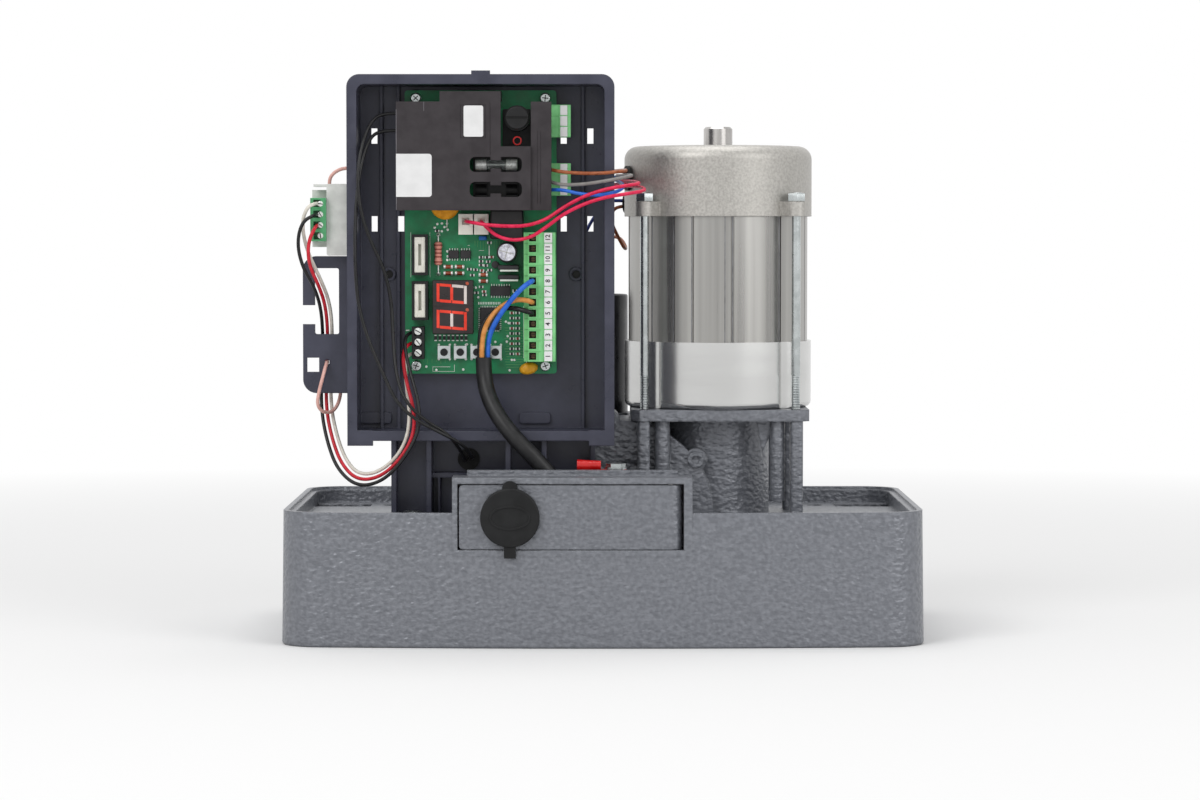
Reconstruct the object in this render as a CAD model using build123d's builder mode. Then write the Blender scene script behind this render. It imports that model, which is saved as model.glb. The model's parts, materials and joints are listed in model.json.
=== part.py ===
from build123d import *
import os
from math import atan, cos, pi, radians, sin, sqrt, tan

# Sliding gate motor with its cover taken off, in millimetres
# X runs to the right, Y to the rear and Z up
# The origin is on the ground, midway between the four foot slots

# Base casting
base_width = 300.0
base_depth = 170.0
rim_height = 63.0
front_bow = 7.0
corner_radius = 18.0
draft_angle = 0.8
foot_rounding = 1.5
skirt_wall = 5.0
rim_wall = 5.0
rim_step = 1.5
deck_height = 55.0
deck_thickness = 4.0

# Foot pads with their slots
slot_spacing_x = 262.0
slot_spacing_y = 124.0
slot_radius = 5.5
slot_length = 22.0
pad_margin = 4.0
pad_thickness = 8.0
pocket_length = 28.0
pocket_depth = 18.0
leveller_radius = 4.0
leveller_reach = 24.0
leveller_length = 20.0
leveller_boss_radius = 8.0
leveller_boss_height = 14.0
leveller_key = 4.0
thread_gap = 0.1

# Release bay in the front of the base
frame_left = -70.0
frame_right = 41.5
frame_top = 79.5
frame_proud = 0.4
lip_inset = 6.5
lip_height = 2.5
lip_depth = 5.0
bay_left = -67.5
bay_right = 37.5
bay_floor = 45.8
bay_top = 76.5
bay_wall = 3.0
bay_rear = -73.0

# Release door, its hinge pin and its lock
door_gap = 0.5
door_edge_gap = 0.7
door_thickness = 5.0
door_corner = 2.0
hinge_x = 31.5
knuckle_radius = 5.1
hinge_pin_radius = 2.0
pin_seat = 2.5
running_gap = 0.05
lock_x = -43.1
lock_z = 61.0
barrel_radius = 9.0
barrel_length = 11.0
barrel_nut = 3.0
keyway_depth = 5.0
plug_radius = 6.0
keyway_width = 1.4
keyway_height = 7.0
tongue_length = 16.6
tongue_width = 6.0
tongue_thickness = 2.0
keeper_gap = 0.6
keeper_reach = 10.0
cap_radius = 13.75
cap_thickness = 3.2
cap_lug_thickness = 2.2
cap_stand_off = 1.0
cap_pivot_z = 73.2
cap_lug_radius = 3.55
cap_lug_top = 78.1
cap_tab_width = 5.5
cap_tab_bottom = 42.2
cap_peg_radius = 1.3
oval_width = 19.2
oval_height = 11.4
oval_ridge = 0.9

# Motor
motor_x = 56.0
plate_size = 85.0
plate_height = 102.9
plate_thickness = 5.5
plate_chamfer = 4.0
tower_radius = 25.0
lower_shield_radius = 45.35
lower_shield_length = 32.1
stator_radius = 43.5
stator_length = 60.1
upper_shield_radius = 45.5
upper_shield_length = 33.9
upper_shield_rounding = 6.4
shield_wall = 5.0
stator_bore = 25.5
air_gap = 0.4
winding_outer = 38.0
winding_inner = 28.0
winding_overhang = 7.0
bolt_square = 72.4
bolt_radius = 2.5
bolt_hole_radius = 2.75
bolt_head_flats = 8.0
bolt_head_height = 4.0
ear_radius = 4.6
ear_length = 14.0
ear_thickness = 7.0
bolt_engagement = 5.0
shaft_top = 244.0
shaft_tip_radius = 7.0
shaft_chamfer = 1.0
shield_rounding = 3.0
core_margin = 1.5
core_slots = 24
stator_slots = 24
slot_opening = 3.0
tooth_tip = 1.5
weld_turns = (-30.4, -17.4, 41.6)
weld_width = 0.7
key_turn = 5.8
key_width = 4.0
wire_hole_z = 219.0
wire_hole_angle = 197.5
wire_hole_radius = 4.5
capacitor_hole_z = 207.0
capacitor_hole_angle = 165.0
capacitor_hole_radius = 3.0
groove_radius = 8.0
lamination_groove = 1.2
foot_journal_radius = 6.0
foot_bearing_radius = 16.0
foot_bearing_width = 10.0
low_journal_radius = 8.5
low_bearing_radius = 20.0
low_bearing_width = 12.0
top_journal_radius = 7.5
top_bearing_radius = 17.5
top_bearing_width = 11.0
tower_floor = 18.0
worm_foot = 23.0
post_width = 6.0
post_depth = 11.0
post_offset = 36.5
pillar_radius = 3.6
pillar_offset_x = 27.5
pillar_offset_y = 35.0
post_foot = 64.5
gusset_left = 17.5
gusset_right = 27.5
gusset_tip = 20.5
gusset_drop = 15.0
gusset_thickness = 4.0
gusset_y = -29.0

# Worm drive inside the casting
gear_z = 57.0
worm_module = 2.5
wheel_teeth = 30
worm_pitch_radius = 11.0
gear_x = motor_x - worm_module * wheel_teeth / 2 - worm_pitch_radius
worm_tooth_share = 0.35
worm_turns = 4
addendum_share = 0.9
dedendum_share = 1.15
wheel_face = 14.0
wheel_hub_radius = 21.0
wheel_web = 7.0
drum_wall = 3.5
drum_front = -26.0
drum_floor = 20.0
drum_tip_gap = 2.5
worm_bore_radius = 16.0
gear_cover_thickness = 3.5
cover_ears = 6
cover_ear_radius = 5.5
cover_ear_length = 16.0
cover_ear_turn = 36.0
cover_space = 0.5
cover_screw_radius = 2.0
cover_screw_length = 14.0
cover_head_radius = 4.0
cover_head_height = 2.0
guide_radius = 7.0
guide_front = -36.0

# Output shaft, clutch and pinion
output_radius = 12.5
boss_radius = 31.0
boss_proud = 3.0
output_bearing_radius = 26.0
output_bearing_width = 15.0
seal_width = 6.0
square_side = 15.0
clutch_front = -19.0
clutch_radius = 19.0
clutch_wall = 2.5
clutch_travel = 5.0
dog_count = 4
dog_depth = 4.0
dog_width = 6.0
dog_height = 4.4
dog_ring_radius = 16.0
face_gap = 0.3
rod_radius = 3.5
rod_head_radius = 7.5
rod_head_thickness = 2.0
rod_eye_y = -80.3
rod_eye_radius = 3.9
rod_eye_height = 5.0
clip_thickness = 1.5
clip_mouth = 4.0
pinion_module = 4.0
pinion_teeth = 16
pinion_width = 28.0
pinion_gap = 4.0
pressure_angle = 20.0

# Run capacitor
run_x = -6.5
run_y = 48.0
run_foot = 98.0
run_radius = 19.0
run_height = 64.0
run_wall = 2.4
run_seat = 20.0
run_cup = 5.0
run_crimp = 1.0
blade_width = 6.3
blade_height = 8.0
blade_thickness = 0.8
blade_offset = 6.0

# Control tray
tray_left = -120.4
tray_right = 5.4
tray_bottom = 94.8
tray_top = 267.1
tray_front = -62.0
tray_rear = -32.0
tray_wall = 2.6
tray_flange = 2.0
tray_flange_depth = 3.0
tray_back = 2.5
tray_corner = 6.0
tray_band = 4.7
tab_left = -61.8
tab_right = -53.0
tab_top = 268.8
clip_width = 12.0
clip_drop = 2.3
clip_height = 5.0
slot_columns = (38.8, 51.5)
slot_rows = (197.0, 238.8)
slot_width = 2.9
slot_height = 7.3
rib_columns = (-105.5, -97.5, -9.5)
rib_width = 1.6
rib_depth = 3.0
ring_column = 44.7
ring_z = 173.0
ring_radius = 2.0
ring_wall = 1.3
pad_columns = (-108.6, -32.5)
pad_z = 104.3
lozenge_width = 15.0
lozenge_height = 5.5

# Legs of the tray
leg_front = -58.0
leg_web_y = -46.0
leg_panel_y = -41.0
leg_wall = 2.4
left_leg = (-100.0, -81.0)
middle_leg = (-46.0, -26.6)
right_leg = (-6.0, -3.6)
foot_plate = 3.0
tray_screw_y = -52.0
tray_screw_radius = 2.5
tray_head_radius = 4.6
tray_head_height = 3.0
ledge_z = 79.0
ledge_front = -50.0
slim_wall_x = -78.4

# Cable entries
gland_x = -15.8
gland_y = -63.9
gland_radius = 7.0
gland_flange = 8.5
gland_flange_height = 2.5
gland_gap = 0.5
mains_radius = 3.9
core_radius = 1.2
lead_radius = 0.8
signal_radius = 0.85
arc_share = 0.45
lead_hole_x = -64.0
lead_hole_z = 85.0
lead_hole_radius = 4.0
lead_flange = 5.2
grommet_lip = 1.5
earth_x = 6.0
earth_y = -65.5
earth_radius = 6.5
earth_top = 81.0
earth_thickness = 6.0
earth_screw_radius = 2.5
earth_head_radius = 4.0
earth_head_height = 1.6
washer_radius = 5.2
washer_thickness = 1.0
lug_thickness = 0.8
lug_barrel_end = -12.2
lug_barrel_radius = 2.3

# Control board
board_left = -94.2
board_right = -22.1
board_bottom = 125.7
board_top = 260.3
board_front = -40.0
board_thickness = 1.6
board_corner = 1.5
board_screw_x = 5.3
board_screw_z = 3.7
board_screw_radius = 1.35
board_screw_length = 5.0
board_head_radius = 2.5
board_head_height = 2.0
post_radius = 4.0

# Board cover
cover_left = -97.2
cover_right = -24.2
cover_bottom = 203.3
cover_top = 254.3
cover_front = -62.0
cover_wall = 2.0
cover_corner = 1.5
strip_left = -33.9
strip_drop = 1.5
tongue_left = -76.7
tongue_right = -48.0
tongue_top = 259.1
window_bottom = 233.3
fuse_left = -62.6
fuse_right = -38.1
fuse_rows = (224.8, 213.1)
fuse_window_height = 7.0
fuse_window_corner = 2.6
waist_width = 5.0
waist_reach = 1.6
leg_size = 4.0
skirt_drop = 6.0

# Parts on the control board
pitch = 5.08
terminal_left = -37.4
terminal_right = -22.3
terminal_bottom = 132.0
terminal_height = 17.0
terminal_ways = 12
terminal_step = 2.0
opening_side = 3.4
opening_depth = 4.0
opening_x = -33.2
plug_left = -30.0
plug_right = -15.2
plug_rows = (237.9, 210.3)
plug_height = 10.0
plug_opening_x = -27.0
sensor_input = (-90.6, -84.7, 133.0)
socket_left = -90.6
socket_right = -83.0
socket_spans = ((172.7, 192.0), (151.4, 169.8))
socket_height = 9.0
socket_wall = 1.1
display_box = (-80.8, -61.5, 144.8, 170.3)
display_height = 8.0
digit_window = 1.0
relay_box = (-53.2, -37.6, 189.8, 203.5)
relay_height = 15.5
white_box = (-68.3, -54.1, 191.9, 201.6)
white_height = 12.0
electrolytic_x = -45.5
electrolytic_z = 183.5
electrolytic_radius = 4.8
electrolytic_height = 12.0
resistor_x = -78.3
resistor_span = (177.6, 188.4)
resistor_radius = 1.9
resistor_lead = 0.4
varistor_x = -75.0
varistor_z = 206.0
varistor_radius = 7.0
varistor_thickness = 4.5
disc_x = -35.2
disc_z = 128.4
disc_width = 8.4
disc_height = 5.0
chips = (
    (-73.5, -68.6, 179.5, 185.4, 1.6),
    (-67.8, -62.9, 179.5, 185.4, 1.6),
    (-53.6, -44.0, 161.8, 168.4, 1.8),
    (-59.3, -48.4, 145.7, 158.0, 1.5),
    (-49.8, -39.8, 174.4, 177.4, 9.5),
    (-49.8, -39.8, 169.8, 172.8, 9.5),
)
button_z = 136.0
button_columns = (-75.6, -67.9, -60.0, -51.2)
button_side = 6.0
button_height = 3.4
button_radius = 1.75
button_flange = 2.4
button_proud = 1.8
button_travel = 0.3
button_lid = 0.5
transformer_box = (-92.0, -65.5, 214.0, 249.0)
transformer_height = 17.5
transformer_core = 3.0
fuse_block = (-61.5, -38.5, 206.5, 231.0)
fuse_block_height = 8.0
fuse_length = 20.0
fuse_radius = 2.6
fuse_glass_radius = 2.3
fuse_cap_length = 5.5
fuse_y = -53.0
knob_x = -40.4
knob_z = 246.7
knob_radius = 5.3
knob_length = 5.5
knob_flange = 6.0
knob_seat = -56.0
knob_spigot = 6.0
fuse_clip = 0.6
lug_barrel_start = -1.0
lug_flare = 0.6
knob_slot = 1.2

# Limit sensor on its bracket, left of the tray
bracket_front = -50.0
bracket_thickness = 2.5
bracket_corner = 6.5
bracket_bar = (-125.0, -120.4)
bracket_left = -142.1
bracket_top = 181.7
bracket_bottom = 116.8
bracket_arm_z = 176.0
bracket_hook_x = -136.4
bracket_hook_z = 158.5
bracket_plate_z = 149.5
bracket_window_z = 144.8
bracket_flange = 14.0
square_hole = (-140.2, -134.5, 126.9, 133.6)
wire_hole = (-130.7, 131.5, 1.2)
sensor_box = (-130.3, -120.6, 182.0, 215.8)
sensor_top = 215.8
sensor_front = -56.0
sensor_rear = -42.0
sensor_wall = 1.6
sensor_wing = (-136.4, 214.4, 1.2)
sensor_plate = (-137.5, 186.0, 213.0)
sensor_plate_front = -50.0
four_way_left = -137.7
four_way_right = -130.3
four_way_bottom = 188.8
four_way_height = 10.0

os.makedirs("parts", exist_ok=True)


def facing(y):
    """Plane at depth y that looks to the front, with X across and Z up."""
    return Plane.XZ.offset(-y)


def base_outline(inset, height, clip=None):
    """Plan outline of the base inside its rim, or what of it lies in clip: left, right, front, rear."""
    half_width = base_width / 2 - inset
    half_depth = base_depth / 2 - inset
    with BuildSketch(Plane.XY.offset(height)) as outline:
        with BuildLine():
            ThreePointArc(
                (-half_width, -half_depth),
                (0, -half_depth - front_bow),
                (half_width, -half_depth),
            )
            Polyline(
                (half_width, -half_depth),
                (half_width, half_depth),
                (-half_width, half_depth),
                (-half_width, -half_depth),
            )
        make_face()
        fillet(outline.vertices(), corner_radius - inset)
        if clip:
            left, right, front, rear = clip
            with Locations(((left + right) / 2, (front + rear) / 2)):
                Rectangle(right - left, rear - front, mode=Mode.INTERSECT)
    return outline.sketch


def face_y(x):
    """Depth of the bowed front face at x, at the height of the rim."""
    bow_radius = ((base_width / 2) ** 2 + front_bow**2) / (2 * front_bow)
    return -base_depth / 2 - front_bow + bow_radius - sqrt(bow_radius**2 - x**2)


def edge_box(left, right, bottom, top, y, rounding=0.0):
    """Upright rectangle given by its edges, at depth y."""
    with BuildSketch(facing(y)) as sketch:
        with Locations(((left + right) / 2, (bottom + top) / 2)):
            if rounding:
                RectangleRounded(right - left, top - bottom, rounding)
            else:
                Rectangle(right - left, top - bottom)
    return sketch.sketch


def floor_box(left, right, front, rear, z, rounding=0.0):
    """Level rectangle given by its edges, at height z."""
    with BuildSketch(Plane.XY.offset(z)) as sketch:
        with Locations(((left + right) / 2, (front + rear) / 2)):
            if rounding:
                RectangleRounded(right - left, rear - front, rounding)
            else:
                Rectangle(right - left, rear - front)
    return sketch.sketch


def upright_disc(x, z, y, radius, inner=0.0):
    """Disc, or ring, at depth y."""
    with BuildSketch(facing(y)) as sketch:
        with Locations((x, z)):
            Circle(radius)
            if inner:
                Circle(inner, mode=Mode.SUBTRACT)
    return sketch.sketch


def level_disc(x, y, z, radius, inner=0.0):
    """Disc, or ring, at height z."""
    with BuildSketch(Plane.XY.offset(z)) as sketch:
        with Locations((x, y)):
            Circle(radius)
            if inner:
                Circle(inner, mode=Mode.SUBTRACT)
    return sketch.sketch


# Places that several pieces share
corner_signs = [(-1, -1), (-1, 1), (1, -1), (1, 1)]
pad_points = [(a * slot_spacing_x / 2, b * slot_spacing_y / 2) for a, b in corner_signs]
leveller_points = [(x - (leveller_reach if x > 0 else -leveller_reach), y) for x, y in pad_points]
bolt_points = [(motor_x + a * bolt_square / 2, b * bolt_square / 2) for a, b in corner_signs]
post_points = [(motor_x + a * post_offset, b * post_offset) for a, b in corner_signs]
pillar_points = [(motor_x + a * pillar_offset_x, b * pillar_offset_y) for a, b in corner_signs]
plate_top = plate_height + plate_thickness
low_bearing_z = plate_top + shield_wall
stator_bottom = plate_top + lower_shield_length
stator_top = stator_bottom + stator_length
shield_top = stator_top + upper_shield_length
top_bearing_z = shield_top - shield_wall - top_bearing_width
draft_gain = rim_height * tan(radians(draft_angle))
wheel_pitch_radius = worm_module * wheel_teeth / 2
addendum = addendum_share * worm_module
dedendum = dedendum_share * worm_module
wheel_tip_radius = wheel_pitch_radius + addendum
drum_bore = wheel_tip_radius + drum_tip_gap
drum_radius = drum_bore + drum_wall
boss_end = base_depth / 2 + boss_proud
cover_face = drum_front - gear_cover_thickness
cover_points = [
    (gear_x + drum_radius * cos(turn), gear_z + drum_radius * sin(turn))
    for turn in [radians(cover_ear_turn + 360 / cover_ears * n) for n in range(cover_ears)]
]
hinge_y = face_y(hinge_x) + knuckle_radius
tongue_y = face_y(lock_x) + barrel_length + face_gap + tongue_thickness / 2
leg_spans = (left_leg, middle_leg)
tray_screw_points = [((left + right) / 2, tray_screw_y) for left, right in leg_spans]
board_screw_points = [
    (x, z)
    for x in (board_left + board_screw_x, board_right - board_screw_x)
    for z in (board_bottom + board_screw_z, board_top - board_screw_z)
]


# Base casting: skirt, deck, release bay, gear drum, worm tower and motor plate
with BuildPart() as base_casting:
    extrude(base_outline(-draft_gain, 0), amount=rim_height, taper=draft_angle)
    fillet(base_casting.edges().group_by(Axis.Z)[0], foot_rounding)
    extrude(base_outline(rim_wall, rim_height), amount=deck_height - rim_height, mode=Mode.SUBTRACT)
    extrude(base_outline(rim_wall / 2, rim_height), amount=-rim_step, mode=Mode.SUBTRACT)
    extrude(base_outline(skirt_wall, 0), amount=deck_height - deck_thickness, mode=Mode.SUBTRACT)
    # Foot pads and levelling bosses
    with BuildSketch():
        with Locations(pad_points):
            Rectangle(pocket_length + 2 * pad_margin, pocket_depth + 2 * pad_margin)
    extrude(amount=deck_height - deck_thickness)
    with BuildSketch():
        with Locations(leveller_points):
            Circle(leveller_boss_radius)
    extrude(amount=leveller_boss_height)
    # Release bay, its raised frame and the shelf of the earth screw
    extrude(
        base_outline(-frame_proud, bay_floor - bay_wall, (frame_left, frame_right, -base_depth, bay_rear)),
        amount=frame_top - bay_floor + bay_wall,
    )
    lip = floor_box(frame_left + lip_inset, frame_right - lip_inset, bay_rear - lip_depth, bay_rear, frame_top)
    extrude(lip, amount=lip_height)
    extrude(level_disc(earth_x, earth_y, earth_top, earth_radius), amount=-earth_thickness)
    shelf = floor_box(earth_x - earth_radius, earth_x + earth_radius, bay_rear, earth_y, earth_top)
    extrude(shelf, amount=-earth_thickness)
    # Slot in the deck for the gear cover, and a notch under its guide and the release rod
    reach = drum_radius + cover_ear_radius + cover_space
    slot_front = cover_face - cover_head_height - cover_space
    slot = floor_box(gear_x - reach, gear_x + reach, slot_front, drum_front, deck_height)
    extrude(slot, amount=-deck_thickness, mode=Mode.SUBTRACT)
    reach = guide_radius + cover_space
    notch = floor_box(gear_x - reach, gear_x + reach, bay_rear, drum_front, deck_height)
    extrude(notch, amount=-deck_thickness, mode=Mode.SUBTRACT)
    # Gear drum with its ears, and the output boss
    extrude(
        upright_disc(gear_x, gear_z, drum_floor + drum_wall, drum_radius),
        amount=drum_floor + drum_wall - drum_front,
    )
    with BuildSketch(facing(drum_front + cover_ear_length)):
        with Locations(cover_points):
            Circle(cover_ear_radius)
    extrude(amount=cover_ear_length)
    extrude(upright_disc(gear_x, gear_z, boss_end, boss_radius), amount=boss_end - drum_floor)
    # Seat of the run capacitor on the output boss
    extrude(level_disc(run_x, run_y, run_foot - run_seat, run_radius + run_wall), amount=run_seat + run_cup)
    # Worm tower, motor plate and the posts under its bolts
    extrude(level_disc(motor_x, 0, tower_floor, tower_radius), amount=plate_height - tower_floor)
    with BuildSketch(Plane.XY.offset(deck_height - deck_thickness)):
        with Locations(post_points):
            RectangleRounded(post_width, post_depth, post_width / 3)
    extrude(amount=plate_height - deck_height + deck_thickness)
    with BuildSketch(Plane.XY.offset(post_foot)):
        with Locations(pillar_points):
            Circle(pillar_radius)
    extrude(amount=plate_height - post_foot)
    with BuildSketch(facing(gusset_y)):
        with BuildLine():
            Polyline(
                (motor_x + gusset_left, plate_height),
                (motor_x + gusset_right, plate_height),
                (motor_x + gusset_tip, plate_height - gusset_drop),
                close=True,
            )
        make_face()
    extrude(amount=gusset_thickness)
    with BuildSketch(Plane.XY.offset(plate_height)) as plate_outline:
        with Locations((motor_x, 0)):
            Rectangle(plate_size, plate_size)
        chamfer(plate_outline.vertices(), plate_chamfer)
    extrude(amount=plate_thickness)
    # Release bay, with the keeper of the lock, the way of the rod and the seats of the hinge pin
    extrude(
        base_outline(-foot_rounding, bay_floor, (bay_left, bay_right, -base_depth, bay_rear - bay_wall)),
        amount=bay_top - bay_floor, mode=Mode.SUBTRACT,
    )
    keeper = floor_box(
        lock_x - tongue_width / 2 - keeper_gap,
        lock_x + keeper_reach,
        tongue_y - tongue_thickness / 2 - keeper_gap,
        tongue_y + tongue_thickness / 2 + keeper_gap,
        bay_floor,
    )
    extrude(keeper, amount=-bay_wall, mode=Mode.SUBTRACT)
    extrude(
        upright_disc(gear_x, gear_z, bay_rear, rod_radius + running_gap),
        amount=bay_wall, mode=Mode.SUBTRACT,
    )
    extrude(
        level_disc(hinge_x, hinge_y, bay_floor - pin_seat, hinge_pin_radius),
        amount=bay_top - bay_floor + 2 * pin_seat, mode=Mode.SUBTRACT,
    )
    # Drum bore, bearing bore, worm bore and motor bolt holes
    extrude(
        upright_disc(gear_x, gear_z, drum_floor, drum_bore),
        amount=drum_floor - drum_front, mode=Mode.SUBTRACT,
    )
    extrude(
        upright_disc(gear_x, gear_z, boss_end, output_bearing_radius),
        amount=boss_end - drum_floor, mode=Mode.SUBTRACT,
    )
    extrude(
        level_disc(motor_x, 0, worm_foot, worm_bore_radius),
        amount=plate_top - worm_foot, mode=Mode.SUBTRACT,
    )
    with BuildSketch(facing(drum_front)):
        with Locations(cover_points):
            Circle(cover_screw_radius + thread_gap)
    extrude(amount=-cover_screw_length, mode=Mode.SUBTRACT)
    with BuildSketch(Plane.XY.offset(plate_top)):
        with Locations(bolt_points):
            Circle(bolt_radius + thread_gap)
    extrude(amount=-bolt_engagement - thread_gap, mode=Mode.SUBTRACT)
    cup = level_disc(run_x, run_y, run_foot, run_radius + running_gap)
    extrude(cup, amount=run_cup, mode=Mode.SUBTRACT)
    # Pockets over the foot slots, the slots and the levelling holes
    with BuildSketch(Plane.XY.offset(pad_thickness)):
        with Locations(pad_points):
            Rectangle(pocket_length, pocket_depth)
    extrude(amount=deck_height - pad_thickness, mode=Mode.SUBTRACT)
    with BuildSketch():
        with Locations(pad_points):
            SlotOverall(slot_length, 2 * slot_radius)
    extrude(amount=pad_thickness, mode=Mode.SUBTRACT)
    with BuildSketch():
        with Locations(leveller_points):
            Circle(leveller_radius + thread_gap)
    extrude(amount=deck_height, mode=Mode.SUBTRACT)
    # Ways through the deck for the supply cable and the tray screws, and the earth screw's thread
    with BuildSketch(Plane.XY.offset(deck_height)):
        with Locations((gland_x, gland_y)):
            Circle(gland_radius)
        with Locations(tray_screw_points):
            Circle(tray_screw_radius + thread_gap)
    extrude(amount=-deck_thickness, mode=Mode.SUBTRACT)
    extrude(
        level_disc(earth_x, earth_y, earth_top, earth_screw_radius + thread_gap),
        amount=-earth_thickness, mode=Mode.SUBTRACT,
    )


# Gear cover: a flat disc with ears, and a guide for the release rod
rod_bore = rod_radius + running_gap
with BuildPart() as gear_cover:
    with BuildSketch(facing(drum_front)):
        with Locations((gear_x, gear_z)):
            Circle(drum_radius)
        with Locations(cover_points):
            Circle(cover_ear_radius)
    extrude(amount=gear_cover_thickness)
    extrude(upright_disc(gear_x, gear_z, cover_face, guide_radius), amount=cover_face - guide_front)
    chamfer(gear_cover.faces().sort_by(Axis.Y)[0].edges().sort_by(SortBy.LENGTH)[-1], shaft_chamfer)
    way = upright_disc(gear_x, gear_z, drum_front, rod_bore)
    extrude(way, amount=drum_front - guide_front, mode=Mode.SUBTRACT)
    with BuildSketch(facing(drum_front)):
        with Locations(cover_points):
            Circle(cover_screw_radius + thread_gap)
    extrude(amount=gear_cover_thickness, mode=Mode.SUBTRACT)

# Screws of the gear cover
with BuildPart() as cover_screws:
    with BuildSketch(facing(cover_face)):
        with Locations(cover_points):
            Circle(cover_head_radius)
    extrude(amount=cover_head_height)
    chamfer(cover_screws.faces().group_by(Axis.Y)[0].edges(), cover_head_height / 8)
    with BuildSketch(facing(cover_face - cover_head_height)):
        with Locations(cover_points):
            RegularPolygon(cover_head_radius / 2, 6)
    extrude(amount=-cover_head_height / 2, mode=Mode.SUBTRACT)
    with BuildSketch(facing(cover_face)):
        with Locations(cover_points):
            Circle(cover_screw_radius)
    extrude(amount=-cover_screw_length + thread_gap)


# Worm wheel: a toothed rim on a web and hub, with four dog slots
tooth_pitch = pi * worm_module
tooth_root = 1.0
lead_turn = wheel_face * worm_module / (2 * worm_pitch_radius) / wheel_pitch_radius
wheel_root_radius = wheel_pitch_radius - dedendum
half_tooth = worm_tooth_share * tooth_pitch / 2
flank_slope = tan(radians(pressure_angle))


def wheel_tooth_outline(y, turn):
    """Trapezium of one wheel tooth at depth y, turned about the wheel's axis."""
    root_half = half_tooth + flank_slope * dedendum
    tip_half = half_tooth - flank_slope * addendum
    turned = Plane(origin=(gear_x, y, gear_z), x_dir=(cos(turn), 0, sin(turn)), z_dir=(0, -1, 0))
    with BuildSketch(turned) as tooth:
        with BuildLine():
            Polyline(
                (wheel_root_radius - tooth_root, -root_half),
                (wheel_tip_radius, -tip_half),
                (wheel_tip_radius, tip_half),
                (wheel_root_radius - tooth_root, root_half),
                close=True,
            )
        make_face()
    return tooth.sketch


with BuildPart() as wheel_tooth:
    loft([wheel_tooth_outline(wheel_face / 2, -lead_turn / 2), wheel_tooth_outline(-wheel_face / 2, lead_turn / 2)])
wheel_axis = Axis((gear_x, 0, gear_z), (0, 1, 0))
with BuildPart() as worm_wheel:
    extrude(
        upright_disc(gear_x, gear_z, wheel_face / 2, wheel_root_radius, output_radius + running_gap),
        amount=wheel_face,
    )
    groove = upright_disc(gear_x, gear_z, wheel_face / 2, wheel_root_radius - 5, wheel_hub_radius)
    extrude(groove, amount=(wheel_face - wheel_web) / 2, mode=Mode.SUBTRACT)
    groove = upright_disc(gear_x, gear_z, -wheel_web / 2, wheel_root_radius - 5, wheel_hub_radius)
    extrude(groove, amount=(wheel_face - wheel_web) / 2, mode=Mode.SUBTRACT)
    for n in range(wheel_teeth):
        add(wheel_tooth.part.rotate(wheel_axis, 360 / wheel_teeth * n))
    with BuildSketch(facing(-wheel_face / 2)):
        with Locations((gear_x, gear_z)):
            with PolarLocations(dog_ring_radius, dog_count):
                Rectangle(dog_height + 2 * face_gap, dog_width + 2 * face_gap)
    extrude(amount=-dog_depth - face_gap, mode=Mode.SUBTRACT)

# Rotor shaft with its worm, and the rotor core on it
worm_root_radius = worm_pitch_radius - dedendum
thread_root = 0.3
thread_height = addendum + dedendum + thread_root
worm_length = worm_turns * tooth_pitch + 2 * half_tooth + 2 * flank_slope * dedendum
with BuildPart() as rotor_shaft:
    with BuildSketch(Plane(origin=(motor_x, 0, 0), x_dir=(1, 0, 0), z_dir=(0, -1, 0))):
        with BuildLine():
            Polyline(
                (0, worm_foot + face_gap),
                (foot_journal_radius, worm_foot + face_gap),
                (foot_journal_radius, worm_foot + foot_bearing_width + face_gap),
                (foot_journal_radius + 2, worm_foot + foot_bearing_width + face_gap),
                (worm_root_radius, gear_z - worm_length / 2),
                (worm_root_radius, gear_z + worm_length / 2),
                (low_journal_radius + 1, gear_z + worm_length / 2 + 4),
                (low_journal_radius + 1, low_bearing_z),
                (low_journal_radius, low_bearing_z),
                (low_journal_radius, stator_bottom),
                (low_journal_radius + 1.5, stator_bottom),
                (low_journal_radius + 1.5, stator_top),
                (top_journal_radius, stator_top),
                (top_journal_radius, top_bearing_z + top_bearing_width),
                (shaft_tip_radius, top_bearing_z + top_bearing_width),
                (shaft_tip_radius, shaft_top - shaft_chamfer),
                (shaft_tip_radius - shaft_chamfer, shaft_top),
                (0, shaft_top),
                close=True,
            )
        make_face()
    revolve(axis=Axis((motor_x, 0, 0), (0, 0, 1)))
    with BuildLine() as thread_path:
        Helix(
            pitch=tooth_pitch,
            height=worm_turns * tooth_pitch,
            radius=worm_root_radius - thread_root,
            center=(motor_x, 0, gear_z - worm_turns * tooth_pitch / 2),
        )
    thread_start = thread_path.line @ 0
    with BuildSketch(Plane(origin=thread_start, x_dir=(1, 0, 0), z_dir=thread_path.line % 0)):
        with BuildLine():
            Polyline(
                (0, -half_tooth - flank_slope * dedendum),
                (thread_height, -half_tooth + flank_slope * addendum),
                (thread_height, half_tooth - flank_slope * addendum),
                (0, half_tooth + flank_slope * dedendum),
                close=True,
            )
        make_face()
    sweep(path=thread_path.line, is_frenet=True)

core_length = stator_length - 2 * core_margin
with BuildPart() as rotor_core:
    core_foot = stator_bottom + core_margin
    core = level_disc(motor_x, 0, core_foot, stator_bore - air_gap, low_journal_radius + 1.5 + running_gap)
    extrude(core, amount=core_length)
    with BuildSketch(Plane.XY.offset(stator_bottom + core_margin)):
        with Locations((motor_x, 0)):
            with PolarLocations(stator_bore - air_gap, core_slots):
                Rectangle(2 * lamination_groove, lamination_groove)
    extrude(amount=core_length, mode=Mode.SUBTRACT)

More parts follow.
